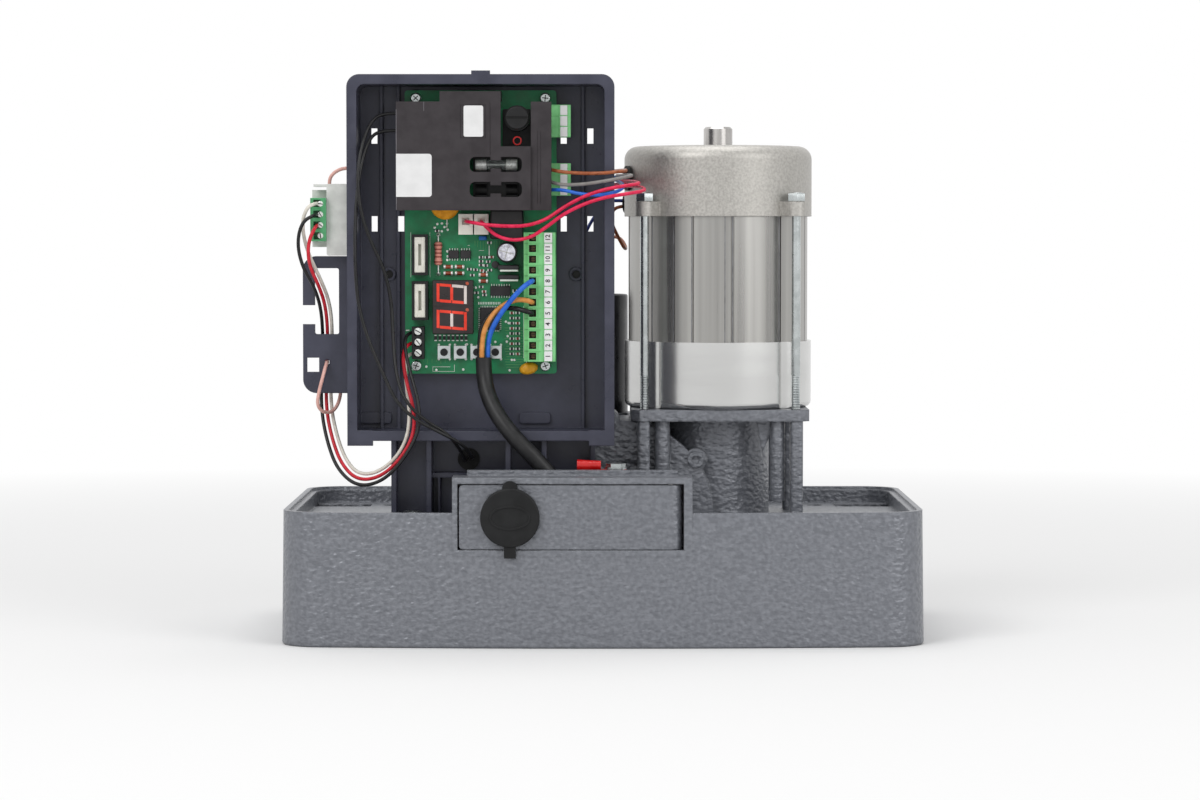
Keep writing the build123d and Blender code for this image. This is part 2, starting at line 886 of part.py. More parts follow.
# Motor: lower shield, stator with its winding, upper shield, tie bolts and bearings
hole_turns = [radians(wire_hole_angle), radians(capacitor_hole_angle)]
hole_planes = [
    Plane(
        origin=(motor_x + upper_shield_radius * cos(turn), upper_shield_radius * sin(turn), height),
        z_dir=(cos(turn), sin(turn), 0),
    )
    for turn, height in zip(hole_turns, (wire_hole_z, capacitor_hole_z))
]
hole_radii = (wire_hole_radius, capacitor_hole_radius)
with BuildPart() as lower_shield:
    extrude(level_disc(motor_x, 0, plate_top, lower_shield_radius), amount=lower_shield_length)
    fillet(lower_shield.edges().group_by(Axis.Z)[0], shield_rounding)
    inside = level_disc(motor_x, 0, low_bearing_z, lower_shield_radius - shield_wall)
    extrude(inside, amount=stator_bottom - low_bearing_z, mode=Mode.SUBTRACT)
    hub = level_disc(motor_x, 0, low_bearing_z, low_bearing_radius + shield_wall)
    extrude(hub, amount=low_bearing_width)
    seat = level_disc(motor_x, 0, low_bearing_z, low_bearing_radius)
    extrude(seat, amount=low_bearing_width, mode=Mode.SUBTRACT)
    bore = level_disc(motor_x, 0, plate_top, low_journal_radius + 1 + face_gap)
    extrude(bore, amount=shield_wall, mode=Mode.SUBTRACT)
    with BuildSketch(Plane.XY.offset(plate_top)):
        with Locations(bolt_points):
            Circle(groove_radius)
    extrude(amount=lower_shield_length, mode=Mode.SUBTRACT)

with BuildPart() as stator_stack:
    extrude(level_disc(motor_x, 0, stator_bottom, stator_radius, stator_bore), amount=stator_length)
    with BuildSketch(Plane.XY.offset(stator_bottom)):
        with Locations((motor_x, 0)):
            for turn in weld_turns:
                with PolarLocations(stator_radius, 4, start_angle=turn):
                    Rectangle(2 * lamination_groove, weld_width)
            with PolarLocations(stator_radius, 4, start_angle=key_turn):
                Rectangle(2 * lamination_groove, key_width)
            with PolarLocations((stator_bore + winding_outer) / 2, stator_slots):
                SlotOverall(winding_outer - stator_bore - tooth_tip, slot_opening)
    extrude(amount=stator_length, mode=Mode.SUBTRACT)

with BuildPart() as stator_winding:
    for z in (stator_bottom - winding_overhang, stator_top):
        extrude(level_disc(motor_x, 0, z, winding_outer, winding_inner), amount=winding_overhang)
    fillet(stator_winding.edges().filter_by(GeomType.CIRCLE), winding_overhang / 4)

with BuildPart() as upper_shield:
    extrude(level_disc(motor_x, 0, stator_top, upper_shield_radius), amount=upper_shield_length)
    fillet(upper_shield.edges().group_by(Axis.Z)[-1], upper_shield_rounding)
    with BuildSketch(Plane.XY.offset(stator_top)):
        with Locations((motor_x, 0)):
            with PolarLocations(bolt_square / sqrt(2) - ear_length / 2, 4, start_angle=45):
                SlotCenterToCenter(ear_length, 2 * ear_radius)
    extrude(amount=ear_thickness)
    inside = level_disc(motor_x, 0, stator_top, upper_shield_radius - shield_wall)
    extrude(inside, amount=upper_shield_length - shield_wall, mode=Mode.SUBTRACT)
    hub = level_disc(motor_x, 0, top_bearing_z, top_bearing_radius + shield_wall)
    extrude(hub, amount=top_bearing_width)
    seat = level_disc(motor_x, 0, top_bearing_z, top_bearing_radius)
    extrude(seat, amount=top_bearing_width, mode=Mode.SUBTRACT)
    bore = level_disc(motor_x, 0, shield_top, shaft_tip_radius + face_gap)
    extrude(bore, amount=-shield_wall, mode=Mode.SUBTRACT)
    with BuildSketch(Plane.XY.offset(stator_top)):
        with Locations(bolt_points):
            Circle(bolt_hole_radius)
    extrude(amount=ear_thickness, mode=Mode.SUBTRACT)
    for plane, radius in zip(hole_planes, hole_radii):
        with BuildSketch(plane.offset(-2 * shield_wall)):
            Circle(radius)
        extrude(amount=3 * shield_wall, mode=Mode.SUBTRACT)

ear_top = stator_top + ear_thickness
with BuildPart() as tie_bolts:
    with BuildSketch(Plane.XY.offset(ear_top)):
        with Locations(bolt_points):
            RegularPolygon(bolt_head_flats / 2, 6, major_radius=False)
    extrude(amount=bolt_head_height)
    chamfer(tie_bolts.faces().group_by(Axis.Z)[-1].edges(), bolt_head_height / 8)
    with BuildSketch(Plane.XY.offset(ear_top)):
        with Locations(bolt_points):
            Circle(bolt_radius)
    extrude(amount=plate_top - bolt_engagement - ear_top)


def bearing(plane, bore, outer, width):
    """Ball bearing on plane: two rings with the shields sunk between them."""
    ring = (outer - bore) / 4
    shield_drop = width / 14
    with BuildPart() as piece:
        with BuildSketch(plane):
            Circle(outer)
            Circle(bore, mode=Mode.SUBTRACT)
        extrude(amount=width)
        with BuildSketch(plane, plane.offset(width - shield_drop)):
            Circle(outer - ring)
            Circle(bore + ring, mode=Mode.SUBTRACT)
        extrude(amount=shield_drop, mode=Mode.SUBTRACT)
    return piece.part


def rising(z):
    """Plane at height z on the motor's axis."""
    return Plane(origin=(motor_x, 0, z), z_dir=(0, 0, 1))


with BuildPart() as motor_bearings:
    add(bearing(rising(worm_foot), foot_journal_radius + running_gap, foot_bearing_radius, foot_bearing_width))
    add(bearing(rising(low_bearing_z), low_journal_radius + running_gap, low_bearing_radius, low_bearing_width))
    add(bearing(rising(top_bearing_z), top_journal_radius + running_gap, top_bearing_radius, top_bearing_width))

# Output side: bearings, seal, shaft, pinion and its clip
pinion_front = boss_end + pinion_gap
shaft_end = pinion_front + pinion_width + pinion_gap
bearing_fronts = (drum_floor + face_gap, boss_end - seal_width - output_bearing_width - face_gap)


def rearward(y):
    """Plane at depth y on the output axis, looking to the front."""
    return Plane(origin=(gear_x, y, gear_z), x_dir=(1, 0, 0), z_dir=(0, -1, 0))


with BuildPart() as output_bearings:
    for y in bearing_fronts:
        add(
            bearing(
                rearward(y + output_bearing_width),
                output_radius + running_gap,
                output_bearing_radius,
                output_bearing_width,
            )
        )

with BuildPart() as shaft_seal:
    ring = upright_disc(gear_x, gear_z, boss_end, output_bearing_radius, output_radius + running_gap)
    extrude(ring, amount=seal_width)
    well = upright_disc(gear_x, gear_z, boss_end, output_bearing_radius - 2 * drum_wall, output_radius + drum_wall)
    extrude(well, amount=seal_width / 3, mode=Mode.SUBTRACT)

collar_radius = output_radius + drum_wall
wheel_rear = wheel_face / 2
clutch_rear = -wheel_rear - face_gap
head_rear = clutch_front + clutch_wall + face_gap + rod_head_thickness
square_front = head_rear + face_gap
with BuildPart() as output_shaft:
    extrude(upright_disc(gear_x, gear_z, shaft_end, output_radius), amount=shaft_end + wheel_rear)
    chamfer(output_shaft.edges().group_by(Axis.Y)[-1], shaft_chamfer)
    collar = upright_disc(gear_x, gear_z, drum_floor, collar_radius)
    extrude(collar, amount=drum_floor - wheel_rear)
    with BuildSketch(rearward(-wheel_rear)) as square_end:
        Rectangle(square_side, square_side)
        chamfer(square_end.vertices(), shaft_chamfer)
    extrude(amount=-wheel_rear - square_front)


def involute(base_radius, radius, turn):
    """Point of an involute at radius, its start turned by turn from the x axis."""
    roll = sqrt((radius / base_radius) ** 2 - 1)
    swept = turn + roll - atan(roll)
    return (radius * cos(swept), radius * sin(swept))


def gear_outline(module, teeth, plane):
    """Plan of an involute spur gear."""
    pitch_radius = module * teeth / 2
    base_radius = pitch_radius * cos(radians(pressure_angle))
    root_radius = pitch_radius - 1.25 * module
    tip_radius = pitch_radius + module
    half_angle = pi / (2 * teeth) + tan(radians(pressure_angle)) - radians(pressure_angle)
    radii = [base_radius + (tip_radius - base_radius) * n / 4 for n in range(5)]
    upper = [involute(base_radius, radius, -half_angle) for radius in radii]
    lower = [(x, -y) for x, y in upper]
    with BuildSketch() as tooth:
        with BuildLine():
            Spline(*upper)
            Line(upper[-1], lower[-1])
            Spline(*reversed(lower))
            Polyline(lower[0], (root_radius - 1, lower[0][1]), (root_radius - 1, upper[0][1]), upper[0])
        make_face()
    with BuildSketch(plane) as gear:
        Circle(root_radius)
        with PolarLocations(0, teeth):
            add(tooth.sketch)
    return gear.sketch


with BuildPart() as pinion:
    extrude(gear_outline(pinion_module, pinion_teeth, rearward(pinion_front + pinion_width)), amount=pinion_width)
    hub = upright_disc(gear_x, gear_z, pinion_front, collar_radius + drum_wall)
    extrude(hub, amount=pinion_gap - face_gap)
    bore = upright_disc(gear_x, gear_z, pinion_front + pinion_width, output_radius + running_gap)
    extrude(bore, amount=pinion_width + pinion_gap, mode=Mode.SUBTRACT)

with BuildPart() as pinion_clip:
    ring = upright_disc(gear_x, gear_z, pinion_front + pinion_width + clip_thickness, collar_radius, output_radius + running_gap)
    extrude(ring, amount=clip_thickness)
    mouth = upright_disc(gear_x, gear_z + output_radius + clip_mouth / 2, pinion_front + pinion_width + clip_thickness, clip_mouth)
    extrude(mouth, amount=clip_thickness, mode=Mode.SUBTRACT)

# Clutch ring on the square, and the rod that draws it back
square_bore = square_side + 2 * face_gap
with BuildPart() as clutch_ring:
    extrude(upright_disc(gear_x, gear_z, clutch_rear, clutch_radius), amount=clutch_rear - clutch_front)
    chamfer(clutch_ring.faces().sort_by(Axis.Y)[0].edges(), shaft_chamfer)
    with BuildSketch(rearward(clutch_rear + dog_depth)):
        with PolarLocations(dog_ring_radius, dog_count):
            Rectangle(dog_height, dog_width)
    extrude(amount=dog_depth)
    with BuildSketch(rearward(clutch_rear)):
        Rectangle(square_bore, square_bore)
    extrude(amount=clutch_rear - clutch_front - clutch_wall, mode=Mode.SUBTRACT)
    way = upright_disc(gear_x, gear_z, clutch_rear, rod_bore)
    extrude(way, amount=clutch_rear - clutch_front, mode=Mode.SUBTRACT)

with BuildPart() as release_rod:
    extrude(upright_disc(gear_x, gear_z, head_rear, rod_head_radius), amount=rod_head_thickness)
    extrude(upright_disc(gear_x, gear_z, head_rear, rod_radius), amount=head_rear - rod_eye_y)
    eye = level_disc(gear_x, rod_eye_y, gear_z - rod_eye_height / 2, rod_eye_radius)
    extrude(eye, amount=rod_eye_height)
    eye_hole = level_disc(gear_x, rod_eye_y, gear_z - rod_radius, rod_eye_radius / 2)
    extrude(eye_hole, amount=2 * rod_radius, mode=Mode.SUBTRACT)

# Release door with its knuckle, hinge pin, lock barrel, plug and cap
door_bottom = bay_floor + door_gap / 2
door_top = bay_top - door_gap
door_left = bay_left + door_edge_gap
door_back = face_y(0) + door_thickness
barrel_front = face_y(lock_x)
with BuildPart() as release_door:
    plate = base_outline(0, door_bottom, (door_left, hinge_x, -base_depth, door_back))
    extrude(plate, amount=door_top - door_bottom)
    extrude(level_disc(hinge_x, hinge_y, door_bottom, knuckle_radius), amount=door_top - door_bottom)
    corners = release_door.edges().filter_by(Axis.Y).group_by(Axis.X)[0]
    fillet(corners, door_corner)
    pin_hole = level_disc(hinge_x, hinge_y, door_bottom, hinge_pin_radius + running_gap)
    extrude(pin_hole, amount=door_top - door_bottom, mode=Mode.SUBTRACT)
    lock_hole = upright_disc(lock_x, lock_z, 0, barrel_radius + running_gap)
    extrude(lock_hole, amount=base_depth, mode=Mode.SUBTRACT)
    peg_hole = upright_disc(lock_x, cap_pivot_z, 0, cap_peg_radius + running_gap)
    extrude(peg_hole, amount=base_depth, mode=Mode.SUBTRACT)

with BuildPart() as hinge_pin:
    pin = level_disc(hinge_x, hinge_y, bay_floor - pin_seat, hinge_pin_radius - running_gap)
    extrude(pin, amount=bay_top - bay_floor + 2 * pin_seat)

barrel_rear = barrel_front + barrel_length
with BuildPart() as lock_barrel:
    extrude(upright_disc(lock_x, lock_z, barrel_rear, barrel_radius), amount=barrel_length)
    nut = upright_disc(lock_x, lock_z, door_back + barrel_nut, barrel_radius + barrel_nut / 2)
    extrude(nut, amount=barrel_nut - face_gap)
    bore = upright_disc(lock_x, lock_z, barrel_rear, plug_radius + running_gap)
    extrude(bore, amount=barrel_length, mode=Mode.SUBTRACT)

with BuildPart() as lock_plug:
    extrude(upright_disc(lock_x, lock_z, barrel_rear + face_gap, plug_radius), amount=barrel_length)
    keyway = edge_box(
        lock_x - keyway_width / 2,
        lock_x + keyway_width / 2,
        lock_z - keyway_height / 2,
        lock_z + keyway_height / 2,
        barrel_front + face_gap + keyway_depth,
    )
    extrude(keyway, amount=keyway_depth, mode=Mode.SUBTRACT)
    with BuildSketch(facing(barrel_rear + face_gap + tongue_thickness)):
        with Locations((lock_x, lock_z)):
            Circle(plug_radius)
            with Locations((tongue_length / 2, 0)):
                RectangleRounded(tongue_length, tongue_width, tongue_width / 3)
    extrude(amount=tongue_thickness)

cap_back = barrel_front - cap_stand_off
with BuildPart() as lock_cap:
    extrude(upright_disc(lock_x, lock_z, cap_back, cap_radius), amount=cap_thickness)
    lug_z = cap_lug_top - cap_lug_radius
    extrude(upright_disc(lock_x, lug_z, cap_back, cap_lug_radius), amount=cap_lug_thickness)
    tab = edge_box(lock_x - cap_tab_width / 2, lock_x + cap_tab_width / 2, cap_tab_bottom, lock_z, cap_back)
    extrude(tab, amount=cap_lug_thickness)
    fillet(lock_cap.faces().sort_by(Axis.Y)[0].edges(), cap_thickness / 4)
    with BuildSketch(facing(cap_back - cap_thickness)):
        with Locations((lock_x, lock_z)):
            Ellipse(oval_width / 2, oval_height / 2)
            Ellipse(oval_width / 2 - oval_ridge, oval_height / 2 - oval_ridge, mode=Mode.SUBTRACT)
    extrude(amount=oval_ridge / 2)
    peg = upright_disc(lock_x, cap_pivot_z, door_back, cap_peg_radius)
    extrude(peg, amount=door_back - cap_back)


# Run capacitor: an aluminium can with a crimped rim and two blades
with BuildPart() as run_capacitor:
    extrude(level_disc(run_x, run_y, run_foot, run_radius), amount=run_height)
    fillet(run_capacitor.edges().group_by(Axis.Z)[-1], run_crimp)
    fillet(run_capacitor.edges().group_by(Axis.Z)[0], run_crimp)
    well = level_disc(run_x, run_y, run_foot + run_height, run_radius - 2 * run_crimp)
    extrude(well, amount=-run_crimp, mode=Mode.SUBTRACT)
    with BuildSketch(Plane.XY.offset(run_foot + run_height - run_crimp)):
        with Locations((run_x - blade_offset, run_y), (run_x + blade_offset, run_y)):
            Rectangle(blade_thickness, blade_width)
    extrude(amount=blade_height + run_crimp)

# Control tray: an open box with slots, ribs and pads in its back, standing on two legs
tray_middle = (tray_left + tray_right) / 2
tray_inside = tray_rear - tray_back
deck_to_tray = tray_bottom + tray_band - deck_height


def tray_outline(inset, y):
    """Front view of the tray, inset from its rim, with rounded upper corners."""
    with BuildSketch(facing(y)) as outline:
        with Locations((tray_middle, (tray_bottom + tray_top) / 2)):
            Rectangle(tray_right - tray_left - 2 * inset, tray_top - tray_bottom - 2 * inset)
        fillet(outline.vertices().group_by(Axis.Y)[-1], tray_corner - inset / 2)
    return outline.sketch


with BuildPart() as control_tray:
    extrude(tray_outline(tray_flange, tray_rear), amount=tray_rear - tray_front)
    extrude(tray_outline(0, tray_front + tray_flange_depth), amount=tray_flange_depth)
    extrude(tray_outline(tray_band, tray_inside), amount=tray_inside - tray_front, mode=Mode.SUBTRACT)
    tab = edge_box(tab_left, tab_right, tray_top - tray_band, tab_top, tray_front + tray_flange_depth)
    extrude(tab, amount=tray_flange_depth)
    # Clips at the lower corners
    for clip_left in (tray_left, tray_right - clip_width):
        clip_top = tray_bottom + clip_height
        clip = edge_box(clip_left, clip_left + clip_width, tray_bottom - clip_drop, clip_top, tray_front)
        extrude(clip, amount=-tray_flange_depth)
    # Ribs, ringed holes and lozenge pads on the back
    for x in rib_columns:
        rib = edge_box(x - rib_width / 2, x + rib_width / 2, tray_bottom + tray_band, tray_top - tray_band, tray_inside)
        extrude(rib, amount=rib_depth)
    for x in (tray_middle - ring_column, tray_middle + ring_column):
        extrude(upright_disc(x, ring_z, tray_inside, ring_radius + ring_wall), amount=rib_depth / 2)
        extrude(upright_disc(x, ring_z, tray_rear, ring_radius), amount=2 * tray_back, mode=Mode.SUBTRACT)
    with BuildSketch(facing(tray_inside)):
        with Locations([(x, pad_z) for x in pad_columns]):
            RectangleRounded(lozenge_width, lozenge_height, lozenge_height / 3)
    extrude(amount=rib_depth / 2)
    # Stand-offs of the board
    with BuildSketch(facing(tray_inside)):
        with Locations(board_screw_points):
            Circle(post_radius)
    extrude(amount=tray_inside - board_front - board_thickness)
    with BuildSketch(facing(tray_inside)):
        with Locations(board_screw_points):
            Circle(board_screw_radius + thread_gap)
    extrude(amount=tray_inside - board_front, mode=Mode.SUBTRACT)
    with BuildSketch(facing(tray_rear)):
        for column in slot_columns:
            for side in (-1, 1):
                with Locations([(tray_middle + side * column, z) for z in slot_rows]):
                    Rectangle(slot_width, slot_height)
    extrude(amount=rib_depth + tray_back, mode=Mode.SUBTRACT)
    # Legs: webs between walls, with dark bays beside them, on two foot plates
    for left, right in leg_spans:
        extrude(floor_box(left, right, leg_web_y, leg_web_y + leg_wall, deck_height), amount=deck_to_tray)
        for x in (left, right - leg_wall):
            wall = floor_box(x, x + leg_wall, leg_front, leg_panel_y + leg_wall, deck_height)
            extrude(wall, amount=deck_to_tray)
        extrude(floor_box(left, right, leg_front, leg_web_y, deck_height), amount=foot_plate)
    for left, right in ((left_leg[1], middle_leg[0]), (middle_leg[1], right_leg[0])):
        extrude(floor_box(left, right, leg_panel_y, leg_panel_y + leg_wall, deck_height), amount=deck_to_tray)
    wall = floor_box(right_leg[0], right_leg[1], leg_web_y, leg_panel_y + leg_wall, deck_height)
    extrude(wall, amount=deck_to_tray)
    extrude(floor_box(left_leg[1], middle_leg[0], ledge_front, leg_panel_y, ledge_z), amount=-leg_wall)
    slim = floor_box(slim_wall_x, slim_wall_x + leg_wall / 2, ledge_front, leg_panel_y, deck_height)
    extrude(slim, amount=ledge_z - leg_wall - deck_height)
    with BuildSketch(Plane.XY.offset(deck_height)):
        with Locations(tray_screw_points):
            Circle(tray_screw_radius + 2 * thread_gap)
    extrude(amount=foot_plate, mode=Mode.SUBTRACT)
    lead_hole = upright_disc(lead_hole_x, lead_hole_z, leg_panel_y + leg_wall, lead_hole_radius)
    extrude(lead_hole, amount=leg_wall, mode=Mode.SUBTRACT)

with BuildPart() as tray_screws:
    with BuildSketch(Plane.XY.offset(deck_height + foot_plate)):
        with Locations(tray_screw_points):
            Circle(tray_head_radius)
    extrude(amount=tray_head_height)
    fillet(tray_screws.faces().group_by(Axis.Z)[-1].edges(), tray_head_height / 3)
    with BuildSketch(Plane.XY.offset(deck_height + foot_plate)):
        with Locations(tray_screw_points):
            Circle(tray_screw_radius)
    extrude(amount=-foot_plate - deck_thickness - foot_plate)

# Rubber cable entries: the supply cable's gland in the deck, a grommet in the leg and two in the motor
with BuildPart() as cable_grommets:
    extrude(level_disc(gland_x, gland_y, deck_height, gland_flange), amount=gland_flange_height)
    fillet(cable_grommets.edges().group_by(Axis.Z)[-1], gland_flange_height / 3)
    extrude(level_disc(gland_x, gland_y, deck_height, gland_radius - running_gap), amount=-deck_thickness)
    extrude(level_disc(gland_x, gland_y, deck_height - deck_thickness, gland_flange), amount=-gland_flange_height)
    mouth = level_disc(gland_x, gland_y, deck_height, mains_radius + gland_gap)
    extrude(mouth, amount=gland_flange_height, mode=Mode.SUBTRACT)
    extrude(upright_disc(lead_hole_x, lead_hole_z, leg_panel_y, lead_flange), amount=leg_wall / 2)
    extrude(upright_disc(lead_hole_x, lead_hole_z, leg_panel_y, lead_hole_radius - running_gap), amount=-leg_wall)
    for plane, radius in zip(hole_planes, hole_radii):
        with BuildSketch(plane.offset(-shield_wall)):
            Circle(radius - running_gap)
        extrude(amount=shield_wall + grommet_lip)
        with BuildSketch(plane.offset(face_gap / 2)):
            Circle(radius + grommet_lip)
        extrude(amount=grommet_lip - face_gap / 2)

# Control board with its screws
with BuildPart() as control_board:
    outline = edge_box(board_left, board_right, board_bottom, board_top, board_front, board_corner)
    extrude(outline, amount=-board_thickness)
    with BuildSketch(facing(board_front)):
        with Locations(board_screw_points):
            Circle(board_screw_radius + 2 * thread_gap)
    extrude(amount=-board_thickness, mode=Mode.SUBTRACT)

with BuildPart() as board_screws:
    with BuildSketch(facing(board_front)):
        with Locations(board_screw_points):
            Circle(board_head_radius)
    extrude(amount=board_head_height)
    fillet(board_screws.faces().group_by(Axis.Y)[0].edges(), board_head_height / 3)
    with BuildSketch(facing(board_front)):
        with Locations(board_screw_points):
            Circle(board_screw_radius)
    extrude(amount=-board_screw_length)

# Board cover: a shell with a tongue, a lower strip, a window for the fuse knob and two fuse windows
with BuildPart() as board_cover:
    extrude(edge_box(cover_left, cover_right, cover_bottom, cover_top, cover_front + cover_wall, cover_corner), amount=cover_wall)
    tongue = edge_box(tongue_left, tongue_right, cover_top - cover_wall, tongue_top, cover_front + cover_wall)
    extrude(tongue, amount=cover_wall)
    skirt_height = board_front - cover_front - cover_wall
    left_wall = edge_box(cover_left, cover_left + cover_wall, cover_bottom, cover_top, board_front)
    extrude(left_wall, amount=skirt_height)
    for bottom, right in ((cover_bottom, cover_right), (cover_top - cover_wall, tongue_left)):
        lip = edge_box(cover_left, right, bottom, bottom + cover_wall, cover_front + skirt_drop)
        extrude(lip, amount=skirt_drop)
    for x, z in (
        (tongue_right - leg_size, tongue_top - leg_size),
        (cover_left + leg_size, cover_bottom + cover_wall),
        (strip_left - leg_size, cover_bottom + cover_wall),
    ):
        extrude(edge_box(x, x + leg_size, z, z + leg_size, board_front), amount=skirt_height)
    step = edge_box(strip_left, cover_right, cover_bottom, cover_top, cover_front + strip_drop)
    extrude(step, amount=strip_drop, mode=Mode.SUBTRACT)
    strip = edge_box(strip_left, cover_right, cover_bottom, cover_top, cover_front + strip_drop + cover_wall)
    extrude(strip, amount=cover_wall)
    window = edge_box(tongue_right, strip_left, window_bottom, tongue_top, board_front)
    extrude(window, amount=board_front - cover_front, mode=Mode.SUBTRACT)
    for z in fuse_rows:
        low = z - fuse_window_height / 2
        high = z + fuse_window_height / 2
        opening = edge_box(fuse_left, fuse_right, low, high, board_front, fuse_window_corner)
        extrude(opening, amount=board_front - cover_front, mode=Mode.SUBTRACT)
        waist = (fuse_left + fuse_right) / 2
        for edge in (low, high - waist_reach):
            tab = edge_box(
                waist - waist_width / 2,
                waist + waist_width / 2,
                edge,
                edge + waist_reach,
                cover_front + cover_wall,
            )
            extrude(tab, amount=cover_wall)


# Transformer under the cover: a laminated core round a wound bobbin
with BuildPart() as transformer:
    left, right, bottom, top = transformer_box
    middle = (bottom + top) / 2
    core = edge_box(left, right, bottom + 2 * transformer_core, top - 2 * transformer_core, board_front)
    extrude(core, amount=transformer_height)
    chamfer(transformer.faces().sort_by(Axis.Y)[0].edges(), shaft_chamfer)
    bobbin = edge_box(left + transformer_core, right - transformer_core, bottom, top, board_front, transformer_core)
    extrude(bobbin, amount=transformer_height - transformer_core)

# Fuse holder: a block with two pairs of clips, and the barrel of the round holder
fuse_middle = (fuse_left + fuse_right) / 2
clip_offset = (fuse_length - fuse_cap_length) / 2
with BuildPart() as fuse_holder:
    left, right, bottom, top = fuse_block
    extrude(edge_box(left, right, bottom, top, board_front), amount=fuse_block_height)
    for z in fuse_rows:
        for side in (-1, 1):
            x = fuse_middle + side * clip_offset
            half = fuse_cap_length / 2 - thread_gap
            ears = edge_box(
                x - half,
                x + half,
                z - fuse_radius - fuse_clip,
                z + fuse_radius + fuse_clip,
                board_front - fuse_block_height,
            )
            extrude(ears, amount=board_front - fuse_block_height - fuse_y)
            with BuildSketch(Plane(origin=(x - half, fuse_y, z), z_dir=(1, 0, 0))):
                Circle(fuse_radius + running_gap)
            extrude(amount=2 * half, mode=Mode.SUBTRACT)
    barrel = upright_disc(knob_x, knob_z, board_front, knob_flange)
    extrude(barrel, amount=board_front - knob_seat)
    bore = upright_disc(knob_x, knob_z, knob_seat + knob_spigot, knob_radius - shaft_chamfer)
    extrude(bore, amount=knob_spigot, mode=Mode.SUBTRACT)

with BuildPart() as glass_fuse:
    for side in (-1, 1):
        with BuildSketch(Plane(origin=(fuse_middle + side * clip_offset, fuse_y, fuse_rows[0]), z_dir=(1, 0, 0))):
            Circle(fuse_radius)
        extrude(amount=fuse_cap_length / 2, both=True)
    with BuildSketch(Plane(origin=(fuse_middle, fuse_y, fuse_rows[0]), z_dir=(1, 0, 0))):
        Circle(fuse_glass_radius)
    extrude(amount=clip_offset, both=True)

with BuildPart() as fuse_cap:
    extrude(upright_disc(knob_x, knob_z, knob_seat - face_gap, knob_radius), amount=knob_length)
    fillet(fuse_cap.faces().sort_by(Axis.Y)[0].edges(), shaft_chamfer / 2)
    spigot = upright_disc(knob_x, knob_z, knob_seat + knob_spigot - face_gap, knob_radius - shaft_chamfer - 2 * running_gap)
    extrude(spigot, amount=knob_spigot)
    knob_face = knob_seat - face_gap - knob_length
    slot = edge_box(
        knob_x - knob_radius,
        knob_x + knob_radius,
        knob_z - knob_slot / 2,
        knob_z + knob_slot / 2,
        knob_face + knob_slot,
    )
    extrude(slot, amount=knob_slot, mode=Mode.SUBTRACT)


def screw_terminal(left, right, bottom, ways, height, hole_x, front, step):
    """Row of screw terminals: a stepped body with one square opening for each way."""
    with BuildPart() as piece:
        top = bottom + ways * pitch
        extrude(edge_box(left, right, bottom, top, front + height), amount=height)
        extrude(edge_box(left, left + step, bottom, top, front + step), amount=step, mode=Mode.SUBTRACT)
        with BuildSketch(facing(front)):
            with Locations([(hole_x, bottom + pitch * (n + 0.5)) for n in range(ways)]):
                Rectangle(opening_side, opening_side)
        extrude(amount=-opening_depth, mode=Mode.SUBTRACT)
    return piece.part


terminal_front = board_front - terminal_height
plug_front = board_front - plug_height
with BuildPart() as board_terminals:
    add(
        screw_terminal(
            terminal_left,
            terminal_right,
            terminal_bottom,
            terminal_ways,
            terminal_height,
            opening_x,
            terminal_front,
            terminal_step,
        )
    )
    for bottom in plug_rows:
        add(screw_terminal(plug_left, plug_right, bottom, 3, plug_height, plug_opening_x, plug_front, terminal_step / 2))

# Three way input of the limit sensor
input_left, input_right, input_bottom = sensor_input
input_front = board_front - plug_height
with BuildPart() as sensor_input_block:
    add(
        screw_terminal(
            input_left,
            input_right,
            input_bottom,
            3,
            plug_height,
            (input_left + input_right) / 2,
            input_front,
            terminal_step / 4,
        )
    )

# Two card sockets, and the two white motor connectors
with BuildPart() as card_sockets:
    for bottom, top in socket_spans:
        extrude(edge_box(socket_left, socket_right, bottom, top, board_front), amount=socket_height)
        inside = edge_box(
            socket_left + socket_wall,
            socket_right - socket_wall,
            bottom + socket_wall,
            top - socket_wall,
            board_front - socket_wall,
        )
        extrude(inside, amount=socket_height, mode=Mode.SUBTRACT)

white_left, white_right, white_bottom, white_top = white_box
white_middle = (white_left + white_right) / 2
white_front = board_front - white_height
with BuildPart() as white_connectors:
    for left, right in ((white_left, white_middle - face_gap), (white_middle + face_gap, white_right)):
        extrude(edge_box(left, right, white_bottom, white_top, board_front), amount=white_height)
        with BuildSketch(facing(white_front)):
            with Locations(((left + right) / 2, white_top - opening_side)):
                Rectangle(opening_side, opening_side)
        extrude(amount=-opening_depth / 2, mode=Mode.SUBTRACT)

# Two digit display
with BuildPart() as digit_display:
    left, right, bottom, top = display_box
    extrude(edge_box(left, right, bottom, top, board_front), amount=display_height)
    chamfer(digit_display.faces().sort_by(Axis.Y)[0].edges(), digit_window / 4)

# Chips, relay, capacitor, resistor, varistor and disc, soldered to the board
with BuildPart() as board_components:
    for left, right, bottom, top, height in chips:
        extrude(edge_box(left, right, bottom, top, board_front), amount=height)
    left, right, bottom, top = relay_box
    extrude(edge_box(left, right, bottom, top, board_front, terminal_step / 4), amount=relay_height)
    extrude(upright_disc(electrolytic_x, electrolytic_z, board_front, electrolytic_radius), amount=electrolytic_height)
    with BuildSketch(Plane(origin=(resistor_x, board_front - resistor_radius, resistor_span[0]))):
        Circle(resistor_radius)
    extrude(amount=resistor_span[1] - resistor_span[0])
    extrude(upright_disc(varistor_x, varistor_z, board_front, varistor_radius), amount=varistor_thickness)
    with BuildSketch(facing(board_front)):
        with Locations((disc_x, disc_z)):
            Ellipse(disc_width / 2, disc_height / 2)
    extrude(amount=varistor_thickness)

